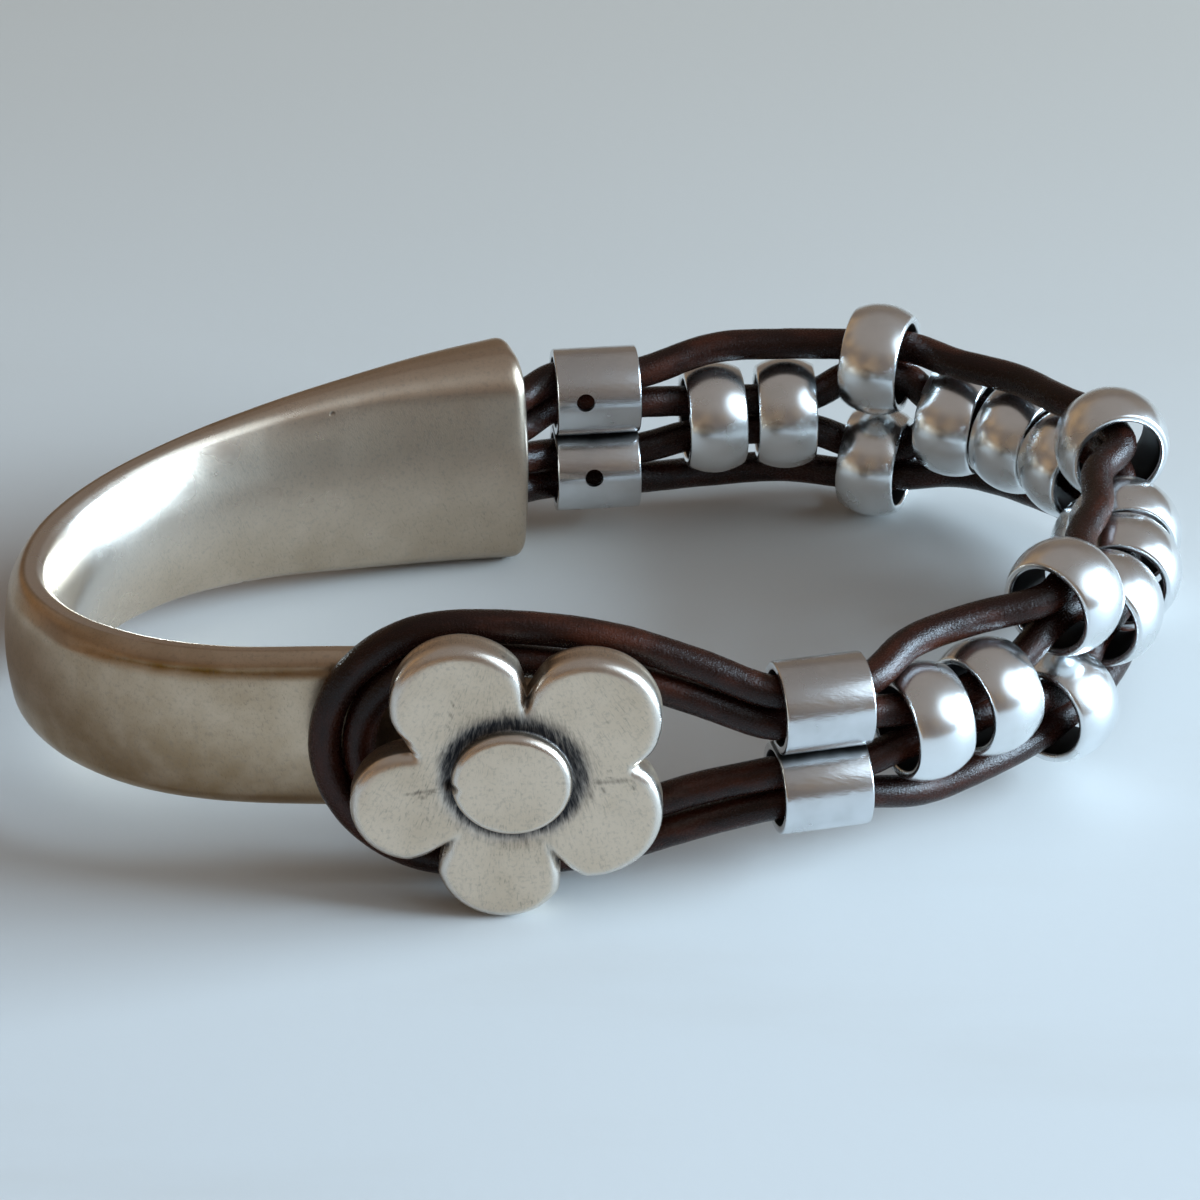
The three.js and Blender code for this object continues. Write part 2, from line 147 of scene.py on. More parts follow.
# %% The stations on the run
PAIR_SPACING = 8.3
SLIDER_SPACING = 6.14
STATIONS = [
    {"name": "slider_socket", "kind": "slider", "at": 6.3, "turn": -11},
    {"name": "bead_pair_a", "kind": "pair", "at": 26.8, "turn": -13},
    {"name": "bead_pair_b", "kind": "pair", "at": 48.75},
    {"name": "bead_pair_c", "kind": "pair", "at": 70.7},
    {"name": "slider_flower", "kind": "slider", "at": 90.9},
]
SINGLE_BEADS = [
    ({"top_lean": 0.6, "low_lean": 1.3}, (14.9, 20.1)),
    ({"top_lean": -1.0, "low_lean": 1.6}, (32.6, 37.8, 43.2)),
    ({"top_lean": -2.0, "low_lean": 0.2}, (54.35, 59.5, 64.6)),
    ({"top_lean": -2.0, "low_lean": 0.0}, (78.3, 83.5)),
]
singles = [leans | {"kind": "single", "at": at} for leans, places in SINGLE_BEADS for at in places]
STATIONS += [{"name": f"bead_{number:02}"} | bead for number, bead in enumerate(singles, 1)]
STATIONS.sort(key=lambda station: station["at"])


def threaded_places():
    """Name, centre in the ring and heading angle of each slider and bead."""
    places = []
    for station in STATIONS:
        middle, along, _ = place_on_run(station["at"])
        heading = math.atan2(along[1], along[0]) + math.radians(station.get("turn", 0))
        rows = {"pair": (("_upper", 0.5), ("_lower", -0.5))}.get(station["kind"], (("", 0.0),))
        for ending, side in rows:
            centre = middle + np.array([0, 0, side * PAIR_SPACING])
            places.append((station["name"] + ending, centre, heading))
    return places


def box_centre(node):
    low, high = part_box(node)
    return np.array((low + high) / 2) / MM


threaded = threaded_places()
shift = box_centre(threaded[1][0]) - lean([threaded[1][1]])[0]
misses = [
    np.linalg.norm(box_centre(name) - lean([centre])[0] - shift)
    for name, centre, _ in threaded if name.startswith("bead")
]
print("ring shift in mm:", shift.round(3), "largest miss of a bead:", round(max(misses), 3))


def to_row(points):
    """Ring points in millimetres to the row frame in metres."""
    return (lean(points) + shift) * MM


# %% [markdown]
# ## Helpers for meshes
# A cast or turned form could be modelled by hand, but here each follows from measured sections,
# so it is lofted: a row of rings with the same number of points is skinned. The ends close in a
# hub, or the last ring joins the first. Numbers that a finish needs, such as how dark the metal
# is, travel with the points as attributes.

# %% Mesh helpers
def put_in_scene(name, data):
    """An object in the scene for a mesh, a curve, a light or a camera."""
    thing = bpy.data.objects.new(name, data)
    bpy.context.scene.collection.objects.link(thing)
    return thing


def store(mesh, key, values):
    """Stores one number, or one vector, for each point of a mesh."""
    values = np.asarray(values, np.float32)
    kind, field = ("FLOAT_VECTOR", "vector") if values.ndim == 2 else ("FLOAT", "value")
    mesh.attributes.new(key, kind, "POINT").data.foreach_set(field, values.ravel())


def make_mesh(name, points, faces, attributes):
    """A piece from row-frame points, with smooth shading and its normals facing out."""
    mesh = bpy.data.meshes.new(name)
    mesh.from_pydata([tuple(p) for p in points], [], faces)
    for key, values in attributes.items():
        store(mesh, key, values)
    work = bmesh.new()
    work.from_mesh(mesh)
    bmesh.ops.recalc_face_normals(work, faces=work.faces)
    for face in work.faces:
        face.smooth = True
    work.to_mesh(mesh)
    work.free()
    return put_in_scene(name, mesh)


def finished_mesh(piece):
    """A plain mesh of a piece as its modifiers leave it."""
    bpy.context.view_layer.update()
    evaluated = piece.evaluated_get(bpy.context.evaluated_depsgraph_get())
    return bpy.data.meshes.new_from_object(evaluated)


def loft(rings, endless=False):
    """Points and faces of the skin over a list of rings."""
    count = len(rings[0])
    points = np.concatenate(rings)
    faces = []
    for row in range(len(rings) if endless else len(rings) - 1):
        here, there = row * count, (row + 1) % len(rings) * count
        for i in range(count):
            j = (i + 1) % count
            faces.append((here + i, here + j, there + j, there + i))
    for first in () if endless else (0, (len(rings) - 1) * count):
        faces.extend((len(points), first + i, first + (i + 1) % count) for i in range(count))
        points = np.concatenate([points, [points[first:first + count].mean(axis=0)]])
    return points, faces


def smooth_step(low, high, value):
    """0 at low, 1 at high and a soft step between."""
    share = np.clip((np.asarray(value, float) - low) / (high - low), 0, 1)
    return share * share * (3 - 2 * share)


def hump(value, reach):
    """1 where value is 0, falling away on both sides."""
    return np.exp(-((value / reach) ** 2))


def ripple(points, size, seed):
    """Soft noise between -1 and 1 at each point, with lumps of that size."""
    offset = Vector((seed * 17.3, seed * 5.1, seed * 9.7))
    return np.array([noise.noise(Vector(p) / size + offset) for p in points])


print("a soft step from 0 to 1:", smooth_step(0, 1, [0, 0.25, 0.5, 0.75, 1]).round(2))

# %% [markdown]
# ## Helpers for materials
# Every finish is a small tree of nodes. Pictures of metal or leather could be wrapped round the
# pieces, but noise that is worked out in the material has no seams and stays sharp close up.
# These helpers add a node with its values, and make what each finish uses: noise, a soft
# threshold, sums, a mix of two colours and a bump.

# %% Node helpers
def new_tree(name):
    """A material with a Principled surface: the material, its tree and the shader."""
    material = bpy.data.materials.new(name)
    material.use_nodes = True
    tree = material.node_tree
    return material, tree, tree.nodes["Principled BSDF"]


def fill(tree, node, key, value):
    """Gives an input a number, or links another socket to it."""
    if isinstance(value, bpy.types.NodeSocket):
        tree.links.new(value, node.inputs[key])
    else:
        node.inputs[key].default_value = value


def add(tree, kind, values=None, out=0, **settings):
    """Adds a node, fills its inputs by name or number and returns one of its outputs."""
    node = tree.nodes.new(kind)
    for key, value in settings.items():
        setattr(node, key, value)
    for key, value in (values or {}).items():
        fill(tree, node, key, value)
    return node.outputs[out] if node.outputs else None


def attribute(tree, name, out="Fac"):
    return add(tree, "ShaderNodeAttribute", out=out, attribute_name=name)


def spot_noise(tree, vector, scale, detail=3.0, roughness=0.55):
    """A noise value at that many lumps per metre."""
    values = {"Vector": vector, "Scale": scale, "Detail": detail, "Roughness": roughness}
    return add(tree, "ShaderNodeTexNoise", values)


def between(tree, value, low, high, to_low=0.0, to_high=1.0):
    """value from low..high to to_low..to_high, smooth at both ends."""
    values = {"Value": value, "From Min": low, "From Max": high, "To Min": to_low, "To Max": to_high}
    return add(tree, "ShaderNodeMapRange", values, interpolation_type="SMOOTHSTEP")


def maths(tree, operation, first, second=0.0):
    return add(tree, "ShaderNodeMath", {0: first, 1: second}, operation=operation)


def times(tree, first, second):
    return maths(tree, "MULTIPLY", first, second)


def plus(tree, first, second):
    return maths(tree, "ADD", first, second)


def minus(tree, first, second):
    return maths(tree, "SUBTRACT", first, second)


def mix_colour(tree, share, first, second):
    return add(tree, "ShaderNodeMix", {0: share, 6: first, 7: second}, out=2, data_type="RGBA")


def bump(tree, height, strength, distance, under=None):
    """A bump of a height, laid over another bump if one is given."""
    values = {"Height": height, "Strength": strength, "Distance": distance}
    return add(tree, "ShaderNodeBump", values | ({"Normal": under} if under else {}))


def stretched(tree, vector, scale, turn=(0, 0, 0)):
    """The same coordinates, turned and drawn out, so that noise on them makes streaks."""
    return add(tree, "ShaderNodeMapping", {"Vector": vector, "Rotation": turn, "Scale": scale})


def dress(tree, shader, colour, roughness, normal):
    for key, value in (("Base Color", colour), ("Roughness", roughness), ("Normal", normal)):
        fill(tree, shader, key, value)


print("helpers for meshes and materials are ready")

# %% [markdown]
# ## Antique silver
# The half cuff is a zamak casting, silver plated, dipped in a dark patina and polished back. So
# it is bright and slightly warm where a cloth can reach, and blue-black in hollows. A dark mask
# could be baked from the hollows of the mesh, but the sections say it exactly: `patina` is how
# dark the casting is, `tarnish` how golden brown, and `polish` how bright it was rubbed.
# The golden brown is partly tarnish and partly painted shade: it grows low on the band, where the
# metal mirrors the shaded table, and on the band's left part, which faces away from the window. The
# cloth's fine strokes follow `streak` and break up every edge. Small pits are left by the mould.

# %% Colours and grain of antique silver
CLEAN_SILVER, DULL_SILVER = (0.735, 0.605, 0.475, 1), (0.61, 0.49, 0.365, 1)
RUBBED_SILVER, DARK_PATINA = (0.78, 0.755, 0.72, 1), (0.026, 0.027, 0.032, 1)
# The golden tarnish colour also paints shade: low on the band and on its left part.
GREY_SPECK, GOLDEN_TARNISH_AND_SHADE = (0.24, 0.21, 0.18, 1), (0.22, 0.118, 0.024, 1)
CAST_GRAIN = {"clouds": 190, "smudges": 420, "pits": 560, "pitted_areas": 330, "sand": 3600}
CLOTH_GRAIN = {"strokes": 4.2, "hairs": 11.0}
RAGGED_EDGE = 1.25
LOW_RELIEF, PIT_DEPTH = 0.00002, 0.00006


def cloth_patina(tree, strokes, hairs):
    """0 on clean metal and 1 in full patina, with an edge that the cloth has torn."""
    dark = attribute(tree, "patina")
    marks = plus(tree, times(tree, strokes, 0.6), times(tree, hairs, 0.4))
    torn = plus(tree, dark, times(tree, minus(tree, marks, 0.5), RAGGED_EDGE))
    return times(tree, between(tree, torn, 0.15, 1.15), between(tree, dark, 0.04, 0.3))


def mould_pits(tree, place):
    """1 in a small pit. Pits come in some areas only."""
    cells = add(tree, "ShaderNodeTexVoronoi", {"Vector": place, "Scale": CAST_GRAIN["pits"]})
    areas = between(tree, spot_noise(tree, place, CAST_GRAIN["pitted_areas"], 2), 0.62, 0.7)
    return times(tree, between(tree, cells, 0.16, 0.06), areas)


print("lumps per metre in the casting:", CAST_GRAIN)

# %% Antique silver for the casting
def antique_silver():
    material, tree, shader = new_tree("antique_silver")
    place = add(tree, "ShaderNodeTexCoord", out="Object")
    clouds = spot_noise(tree, place, CAST_GRAIN["clouds"], 3)
    sand = spot_noise(tree, place, CAST_GRAIN["sand"], 3, 0.6)
    streak = attribute(tree, "streak", "Vector")
    strokes = spot_noise(tree, streak, CLOTH_GRAIN["strokes"], 3, 0.6)
    hairs = spot_noise(tree, streak, CLOTH_GRAIN["hairs"], 2, 0.5)
    patina, pit = cloth_patina(tree, strokes, hairs), mould_pits(tree, place)
    polish = attribute(tree, "polish")
    smudges = between(tree, spot_noise(tree, place, CAST_GRAIN["smudges"], 3), 0.25, 0.7, 0.75, 1.1)
    flecks = times(tree, between(tree, hairs, 0.56, 0.74), between(tree, clouds, 0.35, 0.65, 0.18, 0.5))

    metal = mix_colour(tree, between(tree, clouds, 0.3, 0.8), CLEAN_SILVER, DULL_SILVER)
    metal = mix_colour(tree, flecks, metal, GREY_SPECK)
    # Golden tarnish, with painted shade low on the band and on its left part.
    metal = mix_colour(tree, times(tree, attribute(tree, "tarnish"), smudges), metal, GOLDEN_TARNISH_AND_SHADE)
    metal = mix_colour(tree, between(tree, sand, 0.48, 0.75, 0.0, 0.3), metal, GREY_SPECK)
    metal = mix_colour(tree, times(tree, polish, 0.6), metal, RUBBED_SILVER)
    metal = mix_colour(tree, times(tree, pit, 0.8), metal, DARK_PATINA)
    metal = mix_colour(tree, patina, metal, DARK_PATINA)
    blur = minus(tree, between(tree, clouds, 0.3, 0.8, 0.28, 0.38), times(tree, polish, 0.05))
    relief = bump(tree, hairs, 0.35, LOW_RELIEF)
    relief = bump(tree, sand, 0.3, LOW_RELIEF, relief)
    relief = bump(tree, minus(tree, 1.0, pit), 0.6, PIT_DEPTH, relief)
    dress(tree, shader, metal, plus(tree, blur, times(tree, patina, 0.3)), relief)
    shader.inputs["Metallic"].default_value = 1.0
    return material


silver = antique_silver()
print("finish:", silver.name, "with", len(silver.node_tree.nodes), "nodes")

# %% [markdown]
# ## Polished silver
# The beads and sliders are cast too, but tumbled bright. They mirror the window with a soft
# blur, and have hair scratches and a dark film where `patina` says so, inside their holes. A
# plain mirror would look like chrome, so clouds vary both its colour and its blur. The sliders
# have the same tree with other values: darker and more brushed.

# %% Polished silver for beads and sliders
TUMBLED_GRAIN = {"clouds": 330, "skin": 2600}
HAIR_STRETCH, HAIR_TURN = (700, 4200, 2600), (0.4, 0.2, 0.7)
HOLE_FILM = (0.03, 0.028, 0.026, 1)


def polished_silver(name, clean, dull, blur, brushing):
    material, tree, shader = new_tree(name)
    place = add(tree, "ShaderNodeTexCoord", out="Object")
    clouds = spot_noise(tree, place, TUMBLED_GRAIN["clouds"], 3)
    torn = plus(tree, attribute(tree, "patina"), times(tree, minus(tree, clouds, 0.5), 0.5))
    film = between(tree, torn, 0.3, 0.95)
    metal = mix_colour(tree, between(tree, clouds, 0.3, 0.8), clean, dull)
    gloss = between(tree, clouds, 0.3, 0.8, blur - 0.05, blur + 0.05)
    hairs = spot_noise(tree, stretched(tree, place, HAIR_STRETCH, HAIR_TURN), 1.0, 3)
    relief = bump(tree, spot_noise(tree, place, TUMBLED_GRAIN["skin"], 2), 0.08, LOW_RELIEF)
    relief = bump(tree, hairs, brushing, LOW_RELIEF, relief)
    blurred = plus(tree, gloss, times(tree, film, 0.35))
    dress(tree, shader, mix_colour(tree, film, metal, HOLE_FILM), blurred, relief)
    shader.inputs["Metallic"].default_value = 1.0
    return material


bright = polished_silver("polished_silver", (0.88, 0.905, 0.92, 1), (0.755, 0.77, 0.765, 1), 0.26, 0.1)
satin = polished_silver("satin_silver", (0.755, 0.78, 0.80, 1), (0.60, 0.61, 0.62, 1), 0.25, 0.9)
print("finishes:", bright.name, "and", satin.name, "with", len(bright.node_tree.nodes), "nodes each")

# %% [markdown]
# ## Brown leather
# Round leather cord is dyed through and finished with a thin satin film. The film is finely
# cracked across the cord, and the leather is redder where it is rubbed. Noise in space would cut
# straight through a cord, so the grain follows it: the pattern reads the attribute `grain`,
# which each cord's mesh carries, with two numbers round the cord and one along it.

# %% Dark brown leather for the cords
DYED, REDDENED = (0.012, 0.0036, 0.0023, 1), (0.05, 0.0125, 0.006, 1)
CRACKED = (0.008, 0.003, 0.002, 1)
LEATHER_GRAIN = {"clouds": (0.5, 0.5, 0.16), "fine": (9.0, 9.0, 5.0), "cracks": (2.6, 2.6, 9.0)}
GRAIN_DEPTH, CRACK_DEPTH = 0.00005, 0.00006


def brown_leather():
    material, tree, shader = new_tree("brown_leather")
    grain = attribute(tree, "grain", "Vector")
    clouds = spot_noise(tree, stretched(tree, grain, LEATHER_GRAIN["clouds"]), 1.0, 4)
    fine = spot_noise(tree, stretched(tree, grain, LEATHER_GRAIN["fine"]), 1.0, 3, 0.6)
    cracks = spot_noise(tree, stretched(tree, grain, LEATHER_GRAIN["cracks"]), 1.0, 3, 0.6)
    colour = mix_colour(tree, between(tree, clouds, 0.42, 0.72), DYED, REDDENED)
    colour = mix_colour(tree, between(tree, cracks, 0.58, 0.7, 0.0, 0.6), colour, CRACKED)
    relief = bump(tree, fine, 0.8, GRAIN_DEPTH)
    relief = bump(tree, cracks, 0.4, CRACK_DEPTH, relief)
    dress(tree, shader, colour, between(tree, fine, 0.3, 0.7, 0.17, 0.34), relief)
    shader.inputs["Specular IOR Level"].default_value = 0.27
    return material


leather = brown_leather()
print("finish:", leather.name, "with", len(leather.node_tree.nodes), "nodes")

# %% [markdown]
# ## The band of the half cuff
# The band could be a bent strip, but its height, thickness and rounding all change on the way,
# so it is one loft. It starts at the floor of the socket, comes out through the mouth, turns
# over the rim and runs round the back of the wrist to the tip. Inside it is crowned, for
# comfort, and outside it has a slight belly, so the metal never mirrors one flat patch. Its
# outer upper edge is a chamfer, and below it a dark crease fades in and out.

# %% Sizes of the band
BAND_ROWS = [
    (-6.1, 19.9, 16.4, 6.7), (-12.0, 18.0, 15.7, 5.2), (-17.6, 15.8, 14.7, 3.7),
    (-24.2, 12.8, 13.1, 2.8), (-30.2, 8.8, 11.8, 2.5), (-34.9, 3.7, 11.1, 2.8),
    (-37.7, -2.5, 11.0, 3.1), (-37.9, -8.4, 11.0, 3.0), (-35.3, -12.9, 11.1, 2.8),
    (-30.6, -16.2, 11.3, 2.5), (-25.0, -17.8, 11.5, 2.2), (-16.2, -18.1, 11.8, 2.0),
    (-8.0, -18.1, 11.7, 2.0), (-3.2, -18.1, 11.0, 2.0), (-1.2, -18.1, 8.6, 1.9),
    (-0.4, -18.1, 5.0, 1.7),
]
POST_ROW = 12
SOCKET = {"depth": 9.0, "mouth": (11.2, 3.4), "floor": (10.6, 2.8), "rim": 0.9}
SOCKET_STEPS = [(9.0, 0), (6.0, 0), (3.0, 0), (1.0, 0), (0.35, 0), (0.1, 0.1), (0.0, 0.35)]
BAND_STEPS = 260
BEND_AT, BEND_REACH = 0.42, 0.16
BEND_INSET, INNER_ROUNDING = 0.35, 0.95
band_line = SmoothPath([(x, y, 0) for x, y, _, _ in BAND_ROWS])
band_sizes = SmoothPath([(height, thickness, 0) for _, _, height, thickness in BAND_ROWS])
print("band length in mm:", round(band_line.length, 1))


# %% One section of the band
def corner(cu, cw, ru, rw, start, steps, flat=1.0):
    """A quarter turn round (cu, cw). flat above 1 draws it towards a straight chamfer."""
    out = []
    for i in range(steps):
        a = math.radians(start + 90 * i / steps)
        c, s = math.cos(a), math.sin(a)
        u = cu + ru * math.copysign(abs(c) ** flat, c)
        out.append((u, cw + rw * math.copysign(abs(s) ** flat, s)))
    return out


def stretch(start, end, steps):
    """Points from start towards end, without the end."""
    return [tuple(np.array(start) + (np.array(end) - start) * i / steps) for i in range(steps)]


def band_section(height, thickness, inner, outer_u, outer_w, crown=0.0, belly=0.0, chamfer=1.0):
    """Outline of the band: u outwards from the wrist, w along it. Always 88 points."""
    u, w = thickness / 2, height / 2
    points = corner(u - outer_u, -w + outer_w, outer_u, outer_w, 270, 10)
    points += stretch((u, -w + outer_w), (u, w - outer_w), 20)
    points += corner(u - outer_u, w - outer_w, outer_u, outer_w, 0, 10, chamfer)
    points += stretch((u - outer_u, w), (-u + inner, w), 4)
    points += corner(-u + inner, w - inner, inner, inner, 90, 8)
    points += stretch((-u, w - inner), (-u, -w + inner), 24)
    points += corner(-u + inner, -w + inner, inner, inner, 180, 8)
    points += stretch((-u + inner, -w), (u - outer_u, -w), 4)
    section = np.array(points)
    bulge = 1 - (section[:, 1] / w) ** 2
    section[:, 0] += np.where(section[:, 0] < 0, -crown, belly) * bulge
    return section


def place_section(section, origin, tangent):
    """Sets a flat section square to a line, with u pointing away from the wrist."""
    outward = np.array([tangent[1], -tangent[0], 0.0])
    outward /= np.linalg.norm(outward)
    return origin + section[:, :1] * outward + section[:, 1:] * np.array([0, 0, 1.0])


print("points in a section:", len(band_section(11, 2, 0.5, 0.5, 0.5)))

# %% [markdown]
# ## The crease and the bend
# Two things change along the band besides its size. On the front, the crease under the chamfer is
# faint near the flower, sharp farther out and gone before the bend. At the sharp bend, the inner
# face is more crowned and its upper corner is worn round, because a wrist rubs there.

# %% Rings of the band
CREASE = {
    "below_top": 1.15, "depth": 0.12, "width": 0.28,
    "soot": 0.34, "soot_width": 0.22, "tarnish_width": 0.55,
}


def crease_share(x, y):
    """How strong the crease is at a place on the band."""
    if y >= 0:
        return 0.0
    return float(smooth_step(-36.5, -30.5, x) * (1 - 0.55 * smooth_step(-26.0, -12.0, x)))


def band_ring(t, inset):
    """A ring of the band and how dark, how golden brown (tarnish with painted shade) and how polished
    the metal is on it.
    """
    height, thickness = band_sizes.at_parameter(t)[:2] - 2 * inset
    middle = band_line.at_parameter(t)
    crease, bend = crease_share(*middle[:2]), hump(t - BEND_AT, BEND_REACH)
    crown = (0.075 + 0.045 * bend) * height
    section = band_section(
        height, thickness, (0.3 - 0.16 * bend) * thickness,
        0.42 * thickness, (0.17 - 0.07 * crease) * height,
        crown=crown, belly=(0.03 + 0.045 * bend) * height, chamfer=1.0 + 0.5 * crease,
    )
    u, w = section.T
    outside, inside = u > 0, u < 0
    inward = np.clip(0.5 - u / thickness, 0, 1)
    upper = np.clip(w / (0.5 * height) - 0.1, 0, None) / 0.9
    from_crease = w - (0.5 * height - CREASE["below_top"])
    section[:, 0] += inward * (0.3 * crown + INNER_ROUNDING * bend * upper ** 2) - BEND_INSET * bend
    section[:, 0] -= np.where(outside, CREASE["depth"] * crease * hump(from_crease, CREASE["width"]), 0)
    ring = place_section(section, middle, band_line.heading(t))

    dark = np.where(outside, CREASE["soot"] * crease * hump(from_crease, CREASE["soot_width"]), 0)
    # Golden brown grows towards the bottom of the band, inside and out, as painted shade where the
    # metal mirrors the shaded table. Outside it also grows on the band's left part, as painted shade on
    # the side away from the window.
    low = smooth_step(0.2 * height, -0.5 * height, w)
    tint_and_left_shade = 0.27 + 0.16 * smooth_step(-18.0, -30.0, middle[0])
    face = np.maximum(tint_and_left_shade + 0.32 * low, 0.95 * crease * hump(from_crease, CREASE["tarnish_width"]))
    tarnish = np.where(outside, face, (0.2 + 0.32 * low ** 2) * (1 - 0.7 * bend))
    polish = np.where(inside, 0.2 + 0.8 * bend * smooth_step(-0.3 * height, 0.15 * height, w), 0)
    return ring, (dark, tarnish, polish)


def socket_ring(depth, grow):
    """A ring inside the socket, at a depth from its mouth."""
    share = depth / SOCKET["depth"]
    height, width = np.array(SOCKET["mouth"]) * (1 - share) + np.array(SOCKET["floor"]) * share + grow
    t = band_line.parameter(depth)
    section = band_section(height, width, 0.4 * width, 0.4 * width, 0.4 * width)
    return place_section(section, band_line.at_parameter(t), band_line.heading(t))


crease_check = [round(crease_share(x, -17), 2) for x in (-34, -30, -12)]
print("crease at the bend, before it and near the flower:", crease_check)

# %% The band as one loft
def rows_from_rim_to_tip():
    """Share of the band and inset of each row: over the socket's rounded rim, then along."""
    rim = SOCKET["rim"] / band_line.length
    turns = np.linspace(0, math.pi / 2, 8)
    rounded = [(rim * (1 - math.cos(a)), SOCKET["rim"] * (1 - math.sin(a))) for a in turns]
    return rounded + [(t, 0) for t in np.linspace(rim, 1, BAND_STEPS)[1:]]


def make_band():
    rings, looks = [], []
    for depth, grow in SOCKET_STEPS:
        rings.append(socket_ring(depth, grow))
        soot = 1.0 if depth > 0.3 else 0.35
        looks.append(np.tile([[soot], [0.2], [0.0]], len(rings[-1])))
    for t, inset in rows_from_rim_to_tip():
        ring, look = band_ring(t, inset)
        rings.append(ring)
        looks.append(np.array(look))
    tip = rings[-1]
    centre = tip.mean(axis=0)
    for i, share in enumerate((0.97, 0.9, 0.75, 0.5)):
        rings.append(centre + (tip - centre) * share + np.array([0.08 * (i + 1), 0, 0]))
        looks.append(looks[-1])
    points, faces = loft(rings)
    hubs = np.array([[1.0, 0.0], [0.2, 0.2], [0.0, 0.0]])
    looks = dict(zip(("patina", "tarnish", "polish"), np.hstack(looks + [hubs])))
    x, y, z = points.T
    looks["streak"] = np.column_stack([x + 0.28 * z, y + 0.28 * z, 0.2 * z])
    points[:, 1] += 0.04 * ripple(points, 6.0, 1) + 0.012 * ripple(points, 2.0, 2)
    return make_mesh("half_cuff_band", to_row(points), faces, looks)


band = make_band()
band.data.materials.append(silver)
print("band:", len(band.data.vertices), "points")

# %% [markdown]
# ## The flower button
# The flower was carved by hand before it was cast, so no two petals are alike: each is a disc
# with its own place and size, and the slits between them are cut in to different depths. Discs
# joined by booleans would leave edges that are hard to round. Instead one outline is worked out
# round the middle, and a true distance to it gives the soft edge its even width, into the slits
# too. The raised disc sits a little high of the middle. Dark patina fills the moat at its foot
# and the slits, the cloth has dragged it out in fine strokes, and round edges are rubbed bright.

# %% Sizes of the flower
FLOWER = {
    "x": -5.7, "z": 0.3, "front": -26.1, "thickness": 2.8, "edge": 0.75,
    "disc": (3.95, 3.8), "disc_z": 0.38, "disc_height": 0.8, "disc_edge": 0.6,
}
PETALS = [
    (5.1, 4.6, 4.65), (-3.3, 5.55, 4.6), (-6.45, -1.88, 4.1), (-0.65, -6.05, 4.3), (4.85, -2.3, 4.95),
]
SLITS = [(80.5, 0.9), (156.0, 0.35), (228.0, 1.1), (296.5, 1.2), (9.0, 0.25)]
SLIT_HALF_ANGLE = 7.0
FLOWER_SIDES = 400


def petal_outline(angle):
    """Distance from the flower's centre to its outline: the farthest petal, less any slit."""
    way = np.array([math.cos(angle), math.sin(angle)])
    reach = 0.0
    for x, z, radius in PETALS:
        along = way @ (x, z)
        across = abs(way[0] * z - way[1] * x)
        if across < radius:
            reach = max(reach, along + math.sqrt(radius ** 2 - across ** 2))
    for degrees, depth in SLITS:
        off = abs((math.degrees(angle) - degrees + 180) % 360 - 180)
        reach -= depth * max(0.0, 1 - off / SLIT_HALF_ANGLE) ** 1.3
    return reach


def disc_outline(angle):
    """Distance from the flower's centre to the raised disc's edge, which sits a little high."""
    across, high = FLOWER["disc"]
    lift = FLOWER["disc_z"] / high
    c, s = math.cos(angle) / across, math.sin(angle) / high
    a = c * c + s * s
    return (s * lift + math.sqrt(a - (c * lift) ** 2)) / a


angles = np.linspace(0, 2 * math.pi, FLOWER_SIDES, endpoint=False)
outline = np.array([petal_outline(a) for a in angles])
disc_edge = np.array([disc_outline(a) for a in angles])
ways = np.column_stack([np.cos(angles), np.sin(angles)])
rim_points = ways * outline[:, None]
print("flower reaches in mm:", outline.min().round(2), "to", outline.max().round(2))


# %% The flower's face
def gap_to_line(flat, start, end):
    """Distance of flat points to the straight line between two others."""
    along = np.subtract(end, start)
    share = np.clip(((flat - start) @ along) / (along @ along), 0, 1)
    return np.linalg.norm(flat - start - share[:, None] * along, axis=1)


def edge_distance(flat):
    """Distance of flat points to the flower's outline."""
    sides = zip(rim_points, np.roll(rim_points, -1, axis=0))
    return np.minimum.reduce([gap_to_line(flat, start, end) for start, end in sides])


def face_drop(gap):
    """How far the front face falls away at a distance from the outline."""
    share = np.clip(gap / (1.2 * FLOWER["edge"]), 0, 1)
    return FLOWER["edge"] * (1 - np.sqrt(1 - (1 - share) ** 2))


def near_slit(flat):
    """1 on the line of a slit, fading away beside it and towards the disc."""
    radius = np.linalg.norm(flat, axis=1)
    out = np.zeros(len(flat))
    for degrees, depth in SLITS:
        a = math.radians(degrees)
        across = flat[:, 1] * math.cos(a) - flat[:, 0] * math.sin(a)
        ahead = flat @ (math.cos(a), math.sin(a)) > 0
        fade = smooth_step(petal_outline(a) - 1.6 * depth - 0.4, petal_outline(a), radius)
        out = np.maximum(out, ahead * fade * hump(across, 0.3) * min(1.0, depth + 0.3))
    return out


print("face falls away in mm at the edge and 0.3 inside:", face_drop(np.array([0, 0.3])).round(2))

# %% Rings of the flower
MOAT_DEPTH, MOAT_WIDTH = 0.22, 0.8
POST_STEPS = [(0.3, 3.0), (0.0, 2.8), (-0.25, 2.5)]
BACK_STEPS = [(0.6, 2.4), (0.25, 2.7), (0.0, 3.4), (0.0, 4.6)]
SIDE_STEPS = [(0.9, 0.0), (0.35, -0.1), (0.1, -0.35), (0.0, -0.7), (0.05, -0.95), (0.06, -1.1)]
FACE_SHARES = (0.01, 0.025, 0.045, 0.07, 0.1, 0.135, 0.175, 0.22, 0.27, 0.33, 0.4, 0.48,
               0.56, 0.64, 0.71, 0.77, 0.82, 0.86, 0.9, 0.93, 0.96, 0.985)
DISC_SHARES = (0.93, 0.85, 0.7, 0.5, 0.3, 0.12)


def flower_ring(flat, depth):
    """A ring of the flower from flat points and their Y."""
    depth = np.broadcast_to(depth, len(flat))
    return np.column_stack([FLOWER["x"] + flat[:, 0], depth, FLOWER["z"] + flat[:, 1]])


